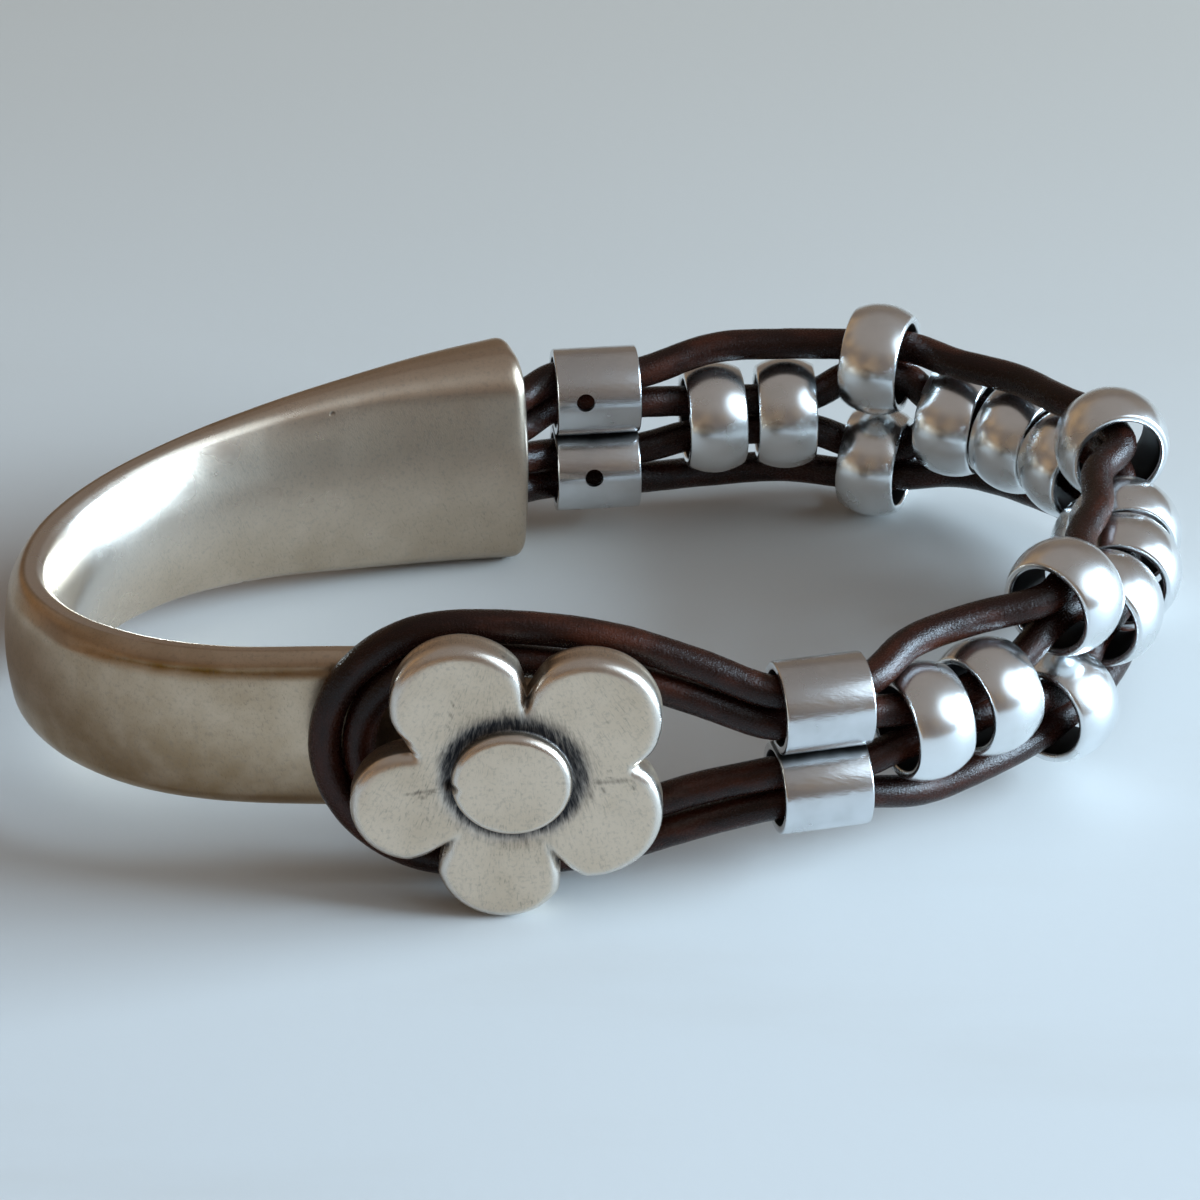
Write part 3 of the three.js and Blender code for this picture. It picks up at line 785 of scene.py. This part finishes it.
def back_rings():
    """Rings from the post, over the back and round the side of the petals."""
    front = FLOWER["front"]
    back = front + FLOWER["thickness"]
    foot = BAND_ROWS[POST_ROW][1] - BAND_ROWS[POST_ROW][3] / 2
    rings = [flower_ring(ways * radius, foot + off) for off, radius in POST_STEPS]
    rings += [flower_ring(ways * radius, back + off) for off, radius in BACK_STEPS]
    rings += [flower_ring(ways * (outline - inset)[:, None], back + off) for inset, off in SIDE_STEPS]
    return rings + [flower_ring(rim_points, front + off) for off in (1.2, FLOWER["edge"])]


def face_rings():
    """Rings from the petals' edge over their face and down into the moat."""
    rings = []
    for share in FACE_SHARES:
        flat = ways * (outline + (disc_edge + 0.02 - outline) * share)[:, None]
        moat = MOAT_DEPTH * hump(np.linalg.norm(flat, axis=1) - disc_edge, MOAT_WIDTH)
        drop = face_drop(edge_distance(flat)) + moat + 0.3 * near_slit(flat)
        rings.append(flower_ring(flat, FLOWER["front"] + drop))
    return rings


def disc_rings():
    """Rings up the side of the raised disc, over its round edge and in to its middle."""
    front, height, edge = FLOWER["front"], FLOWER["disc_height"], FLOWER["disc_edge"]
    middle = np.array([0, FLOWER["disc_z"]])
    rim = ways * disc_edge[:, None] - middle
    reach = np.linalg.norm(rim, axis=1)[:, None]
    rings = [flower_ring(middle + rim, front + off) for off in (0.22, -0.1)]
    for a in (math.pi / 2 * i / 8 for i in range(1, 9)):
        flat = middle + rim * (1 - edge * (1 - math.cos(a)) / reach)
        rings.append(flower_ring(flat, front - height + (height - 0.1) * (1 - math.sin(a))))
    for share in DISC_SHARES:
        flat = middle + rim * (1 - edge / reach) * share
        rings.append(flower_ring(flat, front - height - 0.05 * (1 - share ** 2)))
    return rings


print("rings on the back, face and disc:", len(back_rings()), len(FACE_SHARES), len(disc_rings()))

# %% Where the flower is dark and where it is rubbed
SCRATCHES = [
    ((-4.1, -0.1), (-6.9, -0.62), 0.13, 0.85), ((-4.4, 0.05), (-6.0, -0.95), 0.10, 0.5),
    ((-5.6, -0.4), (-5.9, -1.2), 0.07, 0.45), ((-4.6, -0.55), (-5.5, -0.35), 0.08, 0.5),
    ((-3.95, 5.0), (-3.65, 6.5), 0.07, 0.5), ((-4.2, 4.0), (-3.9, 5.2), 0.06, 0.3),
    ((6.3, 0.2), (6.35, 1.15), 0.09, 0.75), ((5.5, 0.3), (7.4, 0.45), 0.22, 0.42),
    ((7.9, -0.2), (7.8, 0.6), 0.10, 0.4), ((5.8, -1.1), (5.95, 0.0), 0.08, 0.4),
    ((4.9, 4.4), (5.5, 3.0), 0.07, 0.35), ((6.2, 5.0), (6.6, 4.0), 0.05, 0.3),
]
MOST_SOOT, SOOT_SPREAD, BACK_PATINA = 0.62, 1.4, 0.35
NICK = {"at": (-3.86, 0.02), "reach": 0.34, "depth": 0.45}


def flower_patina(flat, y, nick):
    """Where the front is dark: the moat, the slits, the nick and old scratches."""
    front = FLOWER["front"]
    angle = np.arctan2(flat[:, 1], flat[:, 0])
    from_disc = np.linalg.norm(flat, axis=1) - np.array([disc_outline(a) for a in angle])
    above = smooth_step(-0.9, 0.9, np.sin(angle + 0.35))
    moat = np.exp(-(np.clip(from_disc - 0.2 - 0.35 * above, 0, None) / (0.65 + 0.45 * above)) ** 1.5)
    dragged = 0.38 * np.exp(-np.clip(from_disc - 0.9, 0, None) / 1.5)
    on_disc = smooth_step(0.08, -0.05, from_disc) * smooth_step(front + 0.1, front - 0.25, y)
    dark = np.maximum(moat, dragged) * (1 - on_disc)
    dark = np.maximum(dark, 0.95 * near_slit(flat))
    for start, end, width, depth in SCRATCHES:
        soot = hump(gap_to_line(flat, start, end), SOOT_SPREAD * width)
        dark = np.maximum(dark, min(SOOT_SPREAD * depth, MOST_SOOT) * soot)
    return np.maximum(dark, 0.9 * nick)


def rubbed_edges(flat, y):
    """Where the polishing cloth rubs hardest: the round edges of the petals and the disc."""
    depth = y - FLOWER["front"]
    top = -FLOWER["disc_height"]
    petals = smooth_step(0.0, 0.15, depth) * smooth_step(1.3, 0.5, depth) * (1 - near_slit(flat))
    disc = smooth_step(top, top + 0.08, depth) * smooth_step(top + 0.6, top + 0.4, depth)
    return np.maximum(petals, disc)


print("scratches that hold soot:", len(SCRATCHES))

# %% The flower as one loft
WIPED_FROM, WIPE_RADIUS = (0.0, 17.0), 17.0


def wiping_strokes(flat, y):
    """Coordinates that run down the flower in wide arcs, as a cloth wipes it."""
    across, down = (flat - WIPED_FROM).T
    turned = np.arctan2(across, -down) * WIPE_RADIUS
    return np.column_stack([turned, np.hypot(across, down) * 0.16, y * 0.5])


def make_flower():
    points, faces = loft(back_rings() + face_rings() + disc_rings())
    flat, y = points[:, [0, 2]] - [FLOWER["x"], FLOWER["z"]], points[:, 1]
    on_face = y < FLOWER["front"] + 0.9
    nick = hump(np.linalg.norm(flat - NICK["at"], axis=1), NICK["reach"]) * on_face
    patina = np.where(on_face, flower_patina(flat, y, nick), BACK_PATINA)
    y += NICK["depth"] * nick + 0.03 * ripple(points, 3.2, 3) + 0.01 * ripple(points, 1.1, 4)
    looks = {
        "patina": patina, "tarnish": np.zeros(len(points)),
        "polish": rubbed_edges(flat, y), "streak": wiping_strokes(flat, y),
    }
    return make_mesh("half_cuff_flower", to_row(points), faces, looks)


flower = make_flower()
flower.data.materials.append(silver)
for piece in (band, flower):
    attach(piece, "root")
    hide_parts("half_cuff")
print("flower:", len(flower.data.vertices), "points; the casting rides on root")

# %% [markdown]
# ## The double sliders
# A slider is two short tubes cast side by side. Two cylinders and two booleans would do, but a
# flat curve with one outline and two holes, given depth and a small round bevel, makes exactly
# that with clean edges. The pinholes are cut afterwards, with a boolean that is then applied.

# %% Sliders as bevelled curves
SLIDER = {"length": 6.0, "barrel": 6.2, "bore": 5.0, "bevel": 0.16}
BARREL_STEPS, BORE_STEPS = 60, 64


def waisted_outline(inset):
    """Outline of two circles side by side that just run into each other."""
    half, radius = SLIDER_SPACING / 2, SLIDER["barrel"] / 2 - inset
    opening = math.acos(min(1.0, half / (SLIDER["barrel"] / 2))) + 0.06
    out = []
    for side in (1, -1):
        for a in opening + (2 * math.pi - 2 * opening) * np.arange(BARREL_STEPS + 1) / BARREL_STEPS:
            out.append((-side * radius * math.sin(a), side * (half - radius * math.cos(a))))
    return out


def bore_outline(side):
    radius = SLIDER["bore"] / 2 + SLIDER["bevel"]
    turns = np.linspace(0, 2 * math.pi, BORE_STEPS, endpoint=False)
    return [(radius * math.cos(a), side * SLIDER_SPACING + radius * math.sin(a)) for a in turns]


def slider_mesh():
    """A slider round the middle, with its length along X."""
    curve = bpy.data.curves.new("slider", "CURVE")
    curve.dimensions, curve.fill_mode = "2D", "BOTH"
    curve.extrude = SLIDER["length"] / 2 - SLIDER["bevel"]
    curve.bevel_depth, curve.bevel_resolution = SLIDER["bevel"], 3
    for flat in (waisted_outline(SLIDER["bevel"]), bore_outline(0.5), bore_outline(-0.5)):
        spline = curve.splines.new("POLY")
        spline.points.add(len(flat) - 1)
        for point, (a, b) in zip(spline.points, flat):
            point.co = (a, b, 0, 1)
        spline.use_cyclic_u = True
    holder = bpy.data.objects.new("slider", curve)
    mesh = bpy.data.meshes.new_from_object(holder)
    bpy.data.objects.remove(holder)
    work = bmesh.new()
    work.from_mesh(mesh)
    bmesh.ops.remove_doubles(work, verts=work.verts, dist=1e-4)
    for vertex in work.verts:
        a, b, depth = vertex.co
        vertex.co = (depth, a, b)
    bmesh.ops.recalc_face_normals(work, faces=work.faces)
    work.to_mesh(mesh)
    work.free()
    return mesh


print("slider outline:", len(waisted_outline(SLIDER["bevel"])), "points")

# %% Sliders with their pinholes, in place
PINHOLE = {"diameter": 1.3, "rise": math.radians(12), "from_axis": 3.2, "depth": 2.5, "sides": 28}
PINHOLE_PLACES = ((-1.0, 0.5), (-0.4, -0.5))


def cut_pinholes(piece):
    """Cuts the two pinholes through the wall that faces the wrist."""
    cutter = bpy.data.meshes.new("pinholes")
    work = bmesh.new()
    way = Vector((0, -math.cos(PINHOLE["rise"]), math.sin(PINHOLE["rise"])))
    for x, side in PINHOLE_PLACES:
        matrix = way.to_track_quat("Z", "Y").to_matrix().to_4x4()
        matrix.translation = Vector((x, 0, side * SLIDER_SPACING)) + way * PINHOLE["from_axis"]
        bmesh.ops.create_cone(
            work, cap_ends=True, segments=PINHOLE["sides"], radius1=PINHOLE["diameter"] / 2,
            radius2=PINHOLE["diameter"] / 2, depth=PINHOLE["depth"], matrix=matrix,
        )
    work.to_mesh(cutter)
    work.free()
    tool = put_in_scene("pinholes", cutter)
    cut = piece.modifiers.new("pinholes", "BOOLEAN")
    cut.operation, cut.object, cut.solver = "DIFFERENCE", tool, "EXACT"
    result = finished_mesh(piece)
    piece.modifiers.clear()
    piece.data = result
    bpy.data.objects.remove(tool)


def slider_film(local):
    """Dark film in the bores and in the waist between the two barrels."""
    _, y, z = local.T
    from_axis = np.minimum(np.hypot(y, z - SLIDER_SPACING / 2), np.hypot(y, z + SLIDER_SPACING / 2))
    return np.maximum(smooth_step(2.62, 2.52, from_axis), hump(z, 0.45))


def make_slider(name, centre, heading):
    piece = put_in_scene(name, slider_mesh())
    cut_pinholes(piece)
    local = np.array([v.co for v in piece.data.vertices])
    x, y, z = local.T
    c, s = math.cos(heading), math.sin(heading)
    row = to_row(np.column_stack([x * c - y * s, x * s + y * c, z]) + centre)
    piece.data.vertices.foreach_set("co", row.astype(np.float32).ravel())
    store(piece.data, "patina", slider_film(local))
    piece.data.shade_smooth()
    piece.data.set_sharp_from_angle(angle=math.radians(35))
    piece.data.update()
    piece.data.materials.append(satin)
    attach(piece, "root")
    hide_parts(name.removesuffix("_cast"))
    return piece


for name, centre, heading in threaded:
    if name.startswith("slider"):
        made = make_slider(name + "_cast", centre, heading)
        print(made.name, len(made.data.polygons), "faces")

# %% [markdown]
# ## The sixteen beads
# All beads are the same casting, so one bead is lofted from its half section, turned round its
# hole. Sixteen copies could be placed one by one. Geometry Nodes do it in one go: the stations
# are a small mesh of single points that carry each bead's turn, and a bead is put on each.

# %% One bead
BEAD = {"diameter": 8.0, "length": 4.2, "bore": 5.8, "lip": 0.22, "end_rounding": 0.16}
BEAD_SIDES, BELLY_STEPS, BORE_ROWS = 72, 28, 6


def bead_profile():
    """Half section of a bead: (distance from its axis, place along it)."""
    radius, bore, half, lip = BEAD["diameter"] / 2, BEAD["bore"] / 2, BEAD["length"] / 2, BEAD["lip"]
    widest = math.asin((half - 0.04) / radius)
    sweep = [widest * (2 * i / BELLY_STEPS - 1) for i in range(BELLY_STEPS + 1)]
    profile = [(radius * math.cos(a), radius * math.sin(a)) for a in sweep]
    end = profile[-1][0] - BEAD["end_rounding"]
    tail = [(end, half), (bore + lip + 0.03, half), (bore + 0.07, half - 0.06), (bore, half - lip)]
    inner = [(bore, half - lip - (2 * half - 2 * lip) * i / BORE_ROWS) for i in range(1, BORE_ROWS)]
    return profile + tail + inner + [(r, -z) for r, z in reversed(tail)]


def make_bead():
    turns = np.linspace(0, 2 * math.pi, BEAD_SIDES, endpoint=False)
    rings, film = [], []
    for r, z in bead_profile():
        rings.append(np.column_stack([np.full(BEAD_SIDES, z), r * np.cos(turns), r * np.sin(turns)]))
        on_end = 0.3 if abs(z) > BEAD["length"] / 2 - 0.02 else 0.0
        film += [1.0 if r < BEAD["bore"] / 2 + 0.05 else on_end] * BEAD_SIDES
    points, faces = loft(rings, endless=True)
    return make_mesh("bead", points * MM, faces, {"patina": film})


bead = make_bead()
bead.data.materials.append(bright)
print("one bead:", len(bead.data.polygons), "faces")


# %% Beads on their stations
def tree_input(group, name, kind):
    """A named input of a geometry tree. Returns the identifier that a modifier sets it by."""
    return group.interface.new_socket(name=name, in_out="INPUT", socket_type=kind).identifier


def finish_tree(group, geometry, material):
    """Makes all instances real and gives them their finish. An export would lose instances."""
    group.interface.new_socket(name="Made", in_out="OUTPUT", socket_type="NodeSocketGeometry")
    real = add(group, "GeometryNodeRealizeInstances", {"Geometry": geometry})
    dressed = add(group, "GeometryNodeSetMaterial", {"Geometry": real, "Material": material})
    add(group, "NodeGroupOutput", {"Made": dressed})


def bead_tree():
    """Puts the bead on every point, turned as the point's attribute says."""
    group = bpy.data.node_groups.new("beads_on_stations", "GeometryNodeTree")
    tree_input(group, "Stations", "NodeSocketGeometry")
    bead_input = tree_input(group, "Bead", "NodeSocketObject")
    given = add(group, "NodeGroupInput").node.outputs
    values = {"Object": given["Bead"], "As Instance": True}
    one = add(group, "GeometryNodeObjectInfo", values, out="Geometry")
    turn = add(group, "GeometryNodeInputNamedAttribute", {"Name": "turn"}, data_type="FLOAT_VECTOR")
    spin = add(group, "FunctionNodeEulerToRotation", {"Euler": turn})
    values = {"Points": given["Stations"], "Instance": one, "Rotation": spin}
    finish_tree(group, add(group, "GeometryNodeInstanceOnPoints", values), bright)
    return group, bead_input


def bake_nodes(piece, group, values):
    """Runs a geometry tree on a piece and leaves a plain mesh in its place."""
    modifier = piece.modifiers.new(group.name, "NODES")
    modifier.node_group = group
    for identifier, value in values.items():
        modifier[identifier] = value
    name, mesh = piece.name, finished_mesh(piece)
    bpy.data.objects.remove(piece)
    return put_in_scene(name, mesh)


def make_beads(places):
    stations = bpy.data.meshes.new("beads")
    stations.from_pydata([tuple(to_row([centre])[0]) for _, centre, _ in places], [], [])
    store(stations, "turn", [(-LEAN, 0, heading) for _, _, heading in places])
    group, bead_input = bead_tree()
    return bake_nodes(put_in_scene("beads", stations), group, {bead_input: bead})


bead_places = [place for place in threaded if place[0].startswith("bead")]
beads = make_beads(bead_places)
bpy.data.objects.remove(bead)
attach(beads, "root")
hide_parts(*[name for name, _, _ in bead_places])
print("beads:", len(bead_places), "with", len(beads.data.polygons), "faces")

# %% [markdown]
# ## The route of the cords
# Each cord is folded in half: the fold hooks over the button, and both halves run back past the
# sliders and beads into the socket. A simulated cord would slip out of place, so the route is
# worked out from the same stations as the solids, and passes through every hole that it should.
# Both halves are joined into one line, because the real cord doesn't stop at its fold.

# %% Cord routes
CORD = {
    "diameter": 2.2, "spacing": 2.4, "in_socket": 6.5,
    "hole_room": 0.34, "bead_room": 0.2, "fold_gap": 0.4,
}
LOOP_ROWS = [(6.2, 6.1, 3.5), (0.6, 8.05, 5.45), (-4.6, 8.85, 6.35)]
FOLD_STEPS = 8
ROUTE_STEP = 0.4


def cord_offsets(station):
    """How far out and up the four runs are at a station, from the top one to the lowest."""
    half = CORD["spacing"] / 2
    if station["kind"] == "single":
        beside = BEAD["diameter"] / 2 + CORD["diameter"] / 2 + CORD["bead_room"]
        above = math.sqrt(beside ** 2 - station["top_lean"] ** 2)
        below = math.sqrt(beside ** 2 - station["low_lean"] ** 2)
        return [(station["top_lean"], above), (0, half), (0, -half), (station["low_lean"], -below)]
    centre = (PAIR_SPACING if station["kind"] == "pair" else SLIDER_SPACING) / 2
    return [(0, up) for up in (centre + half, centre - half, half - centre, -half - centre)]


def height_at_hole_end(height, next_height, hole_height):
    """Where a cord leaves a hole on its way to the next hole at another height."""
    room = (BEAD["bore"] - CORD["diameter"]) / 2 - CORD["hole_room"]
    return min(max((height + next_height) / 2, hole_height - room), hole_height + room)


def turned_by(degrees, along, outward):
    c, s = math.cos(math.radians(degrees)), math.sin(math.radians(degrees))
    return along * c + outward * s, outward * c - along * s


def points_at_station(order, index):
    """Where a run goes at a station: in at one end of its hole and out at the other."""
    station = STATIONS[order]
    middle, along, outward = place_on_run(station["at"])
    is_slider = station["kind"] == "slider"
    if is_slider:
        along, outward = turned_by(station.get("turn", 0), along, outward)
    out, up = cord_offsets(station)[index]
    centre = middle + outward * out + [0, 0, up]
    if station["kind"] == "single" and index in (0, 3):
        return [centre]
    hole = middle[2] + (math.copysign(PAIR_SPACING / 2, up) if station["kind"] == "pair" else 0)
    points = []
    for side in (-1, 0, 1):
        point = centre + along * side * (SLIDER if is_slider else BEAD)["length"] / 2
        if side and not is_slider:
            neighbour = STATIONS[order + side]
            beyond = place_on_run(neighbour["at"])[0][2] + cord_offsets(neighbour)[index][1]
            point[2] = height_at_hole_end(centre[2], beyond, hole)
        points.append(point)
    return points


def cord_route(index):
    """Points of one run, from inside the socket to the far side of its loop."""
    points = []
    for depth in (CORD["in_socket"], CORD["in_socket"] / 2, 0):
        points.append(band_line.at(depth) + [0, 0, CORD["spacing"] * (1.5 - index)])
    for order in range(len(STATIONS)):
        points += points_at_station(order, index)
    outer, sign = index in (0, 3), 1 if index < 2 else -1
    for x, outer_height, inner_height in LOOP_ROWS:
        height = outer_height if outer else inner_height
        points.append(np.array([x, LOOP["y"], LOOP["z"] + sign * height]))
    radius = LOOP["outer"] if outer else LOOP["inner"]
    half_gap = CORD["fold_gap"] / 2 / radius
    for i in range(FOLD_STEPS + 1):
        a = math.pi / 2 + (math.pi / 2 - half_gap) * i / FOLD_STEPS
        x, z = LOOP["x"] + radius * math.cos(a), LOOP["z"] + sign * radius * math.sin(a)
        points.append(np.array([x, LOOP["y"], z]))
    return points


folded = {
    "leather_cord_1": (("cord_1_upper", 0), ("cord_1_lower", 3)),
    "leather_cord_2": (("cord_2_upper", 1), ("cord_2_lower", 2)),
}
routes = {}
for name, ((_, first), (_, second)) in folded.items():
    whole = SmoothPath(cord_route(first) + cord_route(second)[::-1], 1500)
    routes[name] = [whole.at(d) for d in np.arange(0, whole.length, ROUTE_STEP)] + [whole.points[-1]]
    print(name, "is", round(whole.length), "mm long")

# %% [markdown]
# ## Leather round a route
# A curve's own bevel would make a tube, but it can't carry the grain. So Geometry Nodes draw a
# circle along the route, and the numbers for the grain are captured before the circle is swept:
# how far along the cord, and where round it. Slow noise makes the cord a little uneven, as cut
# and rolled leather is.

# %% The cord tree
CORD_SIDES = 28
UNEVENNESS = 0.12


def captured(group, curve, value):
    """Keeps a value on a curve's points, to be read after the sweep."""
    node = add(group, "GeometryNodeCaptureAttribute", {"Geometry": curve}, domain="POINT").node
    node.capture_items.new("FLOAT", "Value")
    fill(group, node, "Value", value)
    return node.outputs["Geometry"], node.outputs["Value"]


def grain_numbers(group, along, around):
    """Two numbers round the cord, as on a circle, and one along it, in millimetres."""
    angle = times(group, around, 2 * math.pi)
    values = {"X": maths(group, "COSINE", angle), "Y": maths(group, "SINE", angle)}
    return add(group, "ShaderNodeCombineXYZ", values | {"Z": times(group, along, 1 / MM)})


def cord_tree():
    group = bpy.data.node_groups.new("round_leather", "GeometryNodeTree")
    tree_input(group, "Route", "NodeSocketGeometry")
    names = {"Sides": tree_input(group, "Sides", "NodeSocketInt")}
    for name in ("Diameter", "Step", "Unevenness", "Seed"):
        names[name] = tree_input(group, name, "NodeSocketFloat")
    given = add(group, "NodeGroupInput").node.outputs
    values = {"Curve": given["Route"], "Length": given["Step"]}
    even = add(group, "GeometryNodeResampleCurve", values, mode="LENGTH")
    values = {"Resolution": given["Sides"], "Radius": maths(group, "DIVIDE", given["Diameter"], 2.0)}
    circle = add(group, "GeometryNodeCurvePrimitiveCircle", values)
    parameter = add(group, "GeometryNodeSplineParameter").node.outputs
    line, along = captured(group, even, parameter["Length"])
    ring, around = captured(group, circle, parameter["Factor"])
    values = {"Curve": line, "Profile Curve": ring, "Fill Caps": True}
    tube = add(group, "GeometryNodeCurveToMesh", values)
    grain = grain_numbers(group, along, around)
    values = {"Geometry": tube, "Name": "grain", "Value": grain}
    kinds = {"domain": "POINT", "data_type": "FLOAT_VECTOR"}
    marked = add(group, "GeometryNodeStoreNamedAttribute", values, **kinds)
    values = {"Vector": grain, "W": given["Seed"], "Scale": 0.55, "Detail": 2.0}
    lumps = add(group, "ShaderNodeTexNoise", values, noise_dimensions="4D")
    height = times(group, minus(group, lumps, 0.5), given["Unevenness"])
    values = {0: add(group, "GeometryNodeInputNormal"), "Scale": height}
    offset = add(group, "ShaderNodeVectorMath", values, operation="SCALE")
    uneven = add(group, "GeometryNodeSetPosition", {"Geometry": marked, "Offset": offset})
    smooth = add(group, "GeometryNodeSetShadeSmooth", {"Geometry": uneven, "Shade Smooth": True})
    finish_tree(group, smooth, leather)
    return group, names


cord_group, cord_inputs = cord_tree()
print("cord tree:", len(cord_group.nodes), "nodes")


# %% Both cords
def route_curve(name, row):
    """A plain polyline through row-frame points."""
    curve = bpy.data.curves.new(name, "CURVE")
    curve.dimensions = "3D"
    spline = curve.splines.new("POLY")
    spline.points.add(len(row) - 1)
    spline.points.foreach_set("co", np.column_stack([row, np.ones(len(row))]).ravel())
    return put_in_scene(name, curve)


for order, (name, halves) in enumerate(folded.items()):
    sizes = {
        "Diameter": CORD["diameter"] * MM, "Sides": CORD_SIDES, "Step": ROUTE_STEP * MM,
        "Unevenness": UNEVENNESS * MM, "Seed": 1.0 + order,
    }
    values = {cord_inputs[key]: value for key, value in sizes.items()}
    cord = bake_nodes(route_curve(name, to_row(routes[name])), cord_group, values)
    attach(cord, "root")
    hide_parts(*[node for node, _ in halves])
    print(cord.name, len(cord.data.polygons), "faces")

# %% [markdown]
# ## The table
# The bracelet lies on old painted wood. A plank with grain would draw the eye, so the table is
# one pale flat surface in matt paint with faint brush marks. Towards the back its colour is darker
# and warmer: painted shade, where less of the window's light falls. It is part of the stage and not
# of the bracelet.

# %% Pale paint on the table
FRONT_PAINT = ((0.59, 0.605, 0.605, 1), (0.63, 0.64, 0.64, 1))
# The back colour and its range are painted shade: darker and warmer where less window light falls.
BACK_PAINT_SHADE, BRUSHED_PAINT = (0.475, 0.436, 0.388, 1), (0.50, 0.47, 0.43, 1)
SHADE_FROM, SHADE_TO = -0.06, 0.13
BRUSH_STRETCH, BRUSH_TURN = (14, 60, 30), (0, 0, 0.12)


def pale_paint():
    material, tree, shader = new_tree("pale_paint")
    place = add(tree, "ShaderNodeTexCoord", out="Object")
    clouds = spot_noise(tree, place, 9, 3)
    brushed = spot_noise(tree, stretched(tree, place, BRUSH_STRETCH, BRUSH_TURN), 1.0, 4)
    depth = add(tree, "ShaderNodeSeparateXYZ", {0: place}, out="Y")
    colour = mix_colour(tree, between(tree, clouds, 0.3, 0.7), *FRONT_PAINT)
    # Painted shade: darker and warmer towards the back.
    colour = mix_colour(tree, between(tree, depth, SHADE_FROM, SHADE_TO), colour, BACK_PAINT_SHADE)
    colour = mix_colour(tree, between(tree, brushed, 0.45, 0.8, 0.0, 0.25), colour, BRUSHED_PAINT)
    dress(tree, shader, colour, 0.7, bump(tree, spot_noise(tree, place, 900, 4), 0.15, GRAIN_DEPTH))
    shader.inputs["Specular IOR Level"].default_value = 0.25
    return material


bpy.ops.mesh.primitive_plane_add(size=6.0, location=(0, 0, 0))
table = bpy.context.object
table.name = "table"
table.data.materials.append(pale_paint())
print("table at z = 0")

# %% [markdown]
# ## The light
# Silver shows what stands round it. A sun lamp would give hard edges and a black sky, so the
# light is one low, wide window on the right, which also draws the soft shadows. The room all
# round is dim and warm, with a paler ceiling, a warmer wall on the left and one soft patch of
# sky on the front right, for the beads and the flower's rim to mirror.

# %% The window
WINDOW = {
    "azimuth": -1, "elevation": 16, "distance": 0.9,
    "width": 0.52, "height": 0.42, "power": 30.0,
}
DAYLIGHT = (0.60, 0.80, 0.98)


def window_facing(target):
    """A lit rectangle turned to the target. Azimuth 0 is to the right and 90 behind."""
    azimuth, elevation = math.radians(WINDOW["azimuth"]), math.radians(WINDOW["elevation"])
    level = math.cos(elevation)
    way = Vector((level * math.cos(azimuth), level * math.sin(azimuth), math.sin(elevation)))
    place = WINDOW["distance"] * way
    light = bpy.data.lights.new("window_right", "AREA")
    light.shape = "RECTANGLE"
    light.size, light.size_y = WINDOW["width"], WINDOW["height"]
    light.energy, light.color = WINDOW["power"], DAYLIGHT
    lamp = put_in_scene("window_right", light)
    lamp.location = place
    lamp.rotation_euler = (Vector(target) - place).to_track_quat("-Z", "Y").to_euler()
    return lamp


print("light:", window_facing((0, 0, 0.008)).name)

# %% The room
FRONT_WALL, BACK_WALL = (0.26, 0.195, 0.14, 1), (0.215, 0.17, 0.132, 1)
LEFT_WALL, CEILING = (0.40, 0.27, 0.155, 1), (0.27, 0.24, 0.22, 1)
SHAPES, SKY = (0.165, 0.13, 0.11, 1), (1.5, 1.76, 1.98, 1)
SKY_WAY = (0.75, -0.27, 0.6)


def dim_room():
    """A world whose colour depends only on the direction in which it is seen."""
    world = bpy.data.worlds.new("room")
    world.use_nodes = True
    tree = world.node_tree
    way = add(tree, "ShaderNodeTexCoord", out="Generated")
    x, y, z = add(tree, "ShaderNodeSeparateXYZ", {0: way}).node.outputs
    colour = mix_colour(tree, between(tree, y, -0.5, 0.6), FRONT_WALL, BACK_WALL)
    colour = mix_colour(tree, between(tree, x, 0.0, -0.8), colour, LEFT_WALL)
    colour = mix_colour(tree, between(tree, spot_noise(tree, way, 2.6, 2), 0.42, 0.6), colour, SHAPES)
    colour = mix_colour(tree, between(tree, z, 0.45, 0.8), colour, CEILING)
    values = {0: way, 1: SKY_WAY}
    towards = add(tree, "ShaderNodeVectorMath", values, out="Value", operation="DOT_PRODUCT")
    colour = mix_colour(tree, between(tree, towards, 0.88, 0.97), colour, SKY)
    fill(tree, tree.nodes["Background"], "Color", colour)
    fill(tree, tree.nodes["Background"], "Strength", 1.0)
    return world


bpy.context.scene.world = dim_room()
print("room:", bpy.context.scene.world.name)

# %% [markdown]
# ## The camera
# A wide lens close by would make the flower too large. A long lens from a forearm's length keeps
# the proportions, as for any small thing. It looks a third of the way down, at the ring's middle.

# %% The camera
VIEW = {"elevation": math.radians(33), "distance": 0.42, "lens": 184, "below_middle": 0.0011}


def place_camera():
    camera = bpy.data.cameras.new("camera")
    camera.sensor_width, camera.lens, camera.clip_start = 36, VIEW["lens"], 0.01
    eye = put_in_scene("camera", camera)
    target = Vector(to_row([(0, 0, 0)])[0] - [0, 0, VIEW["below_middle"]])
    back = Vector((0, -math.cos(VIEW["elevation"]), math.sin(VIEW["elevation"])))
    eye.location = target + back * VIEW["distance"]
    eye.rotation_euler = (math.pi / 2 - VIEW["elevation"], 0, 0)
    return eye


bpy.context.scene.camera = place_camera()
bpy.context.scene.view_settings.view_transform = "Standard"
print("camera at", [round(v, 4) for v in bpy.context.scene.camera.location])
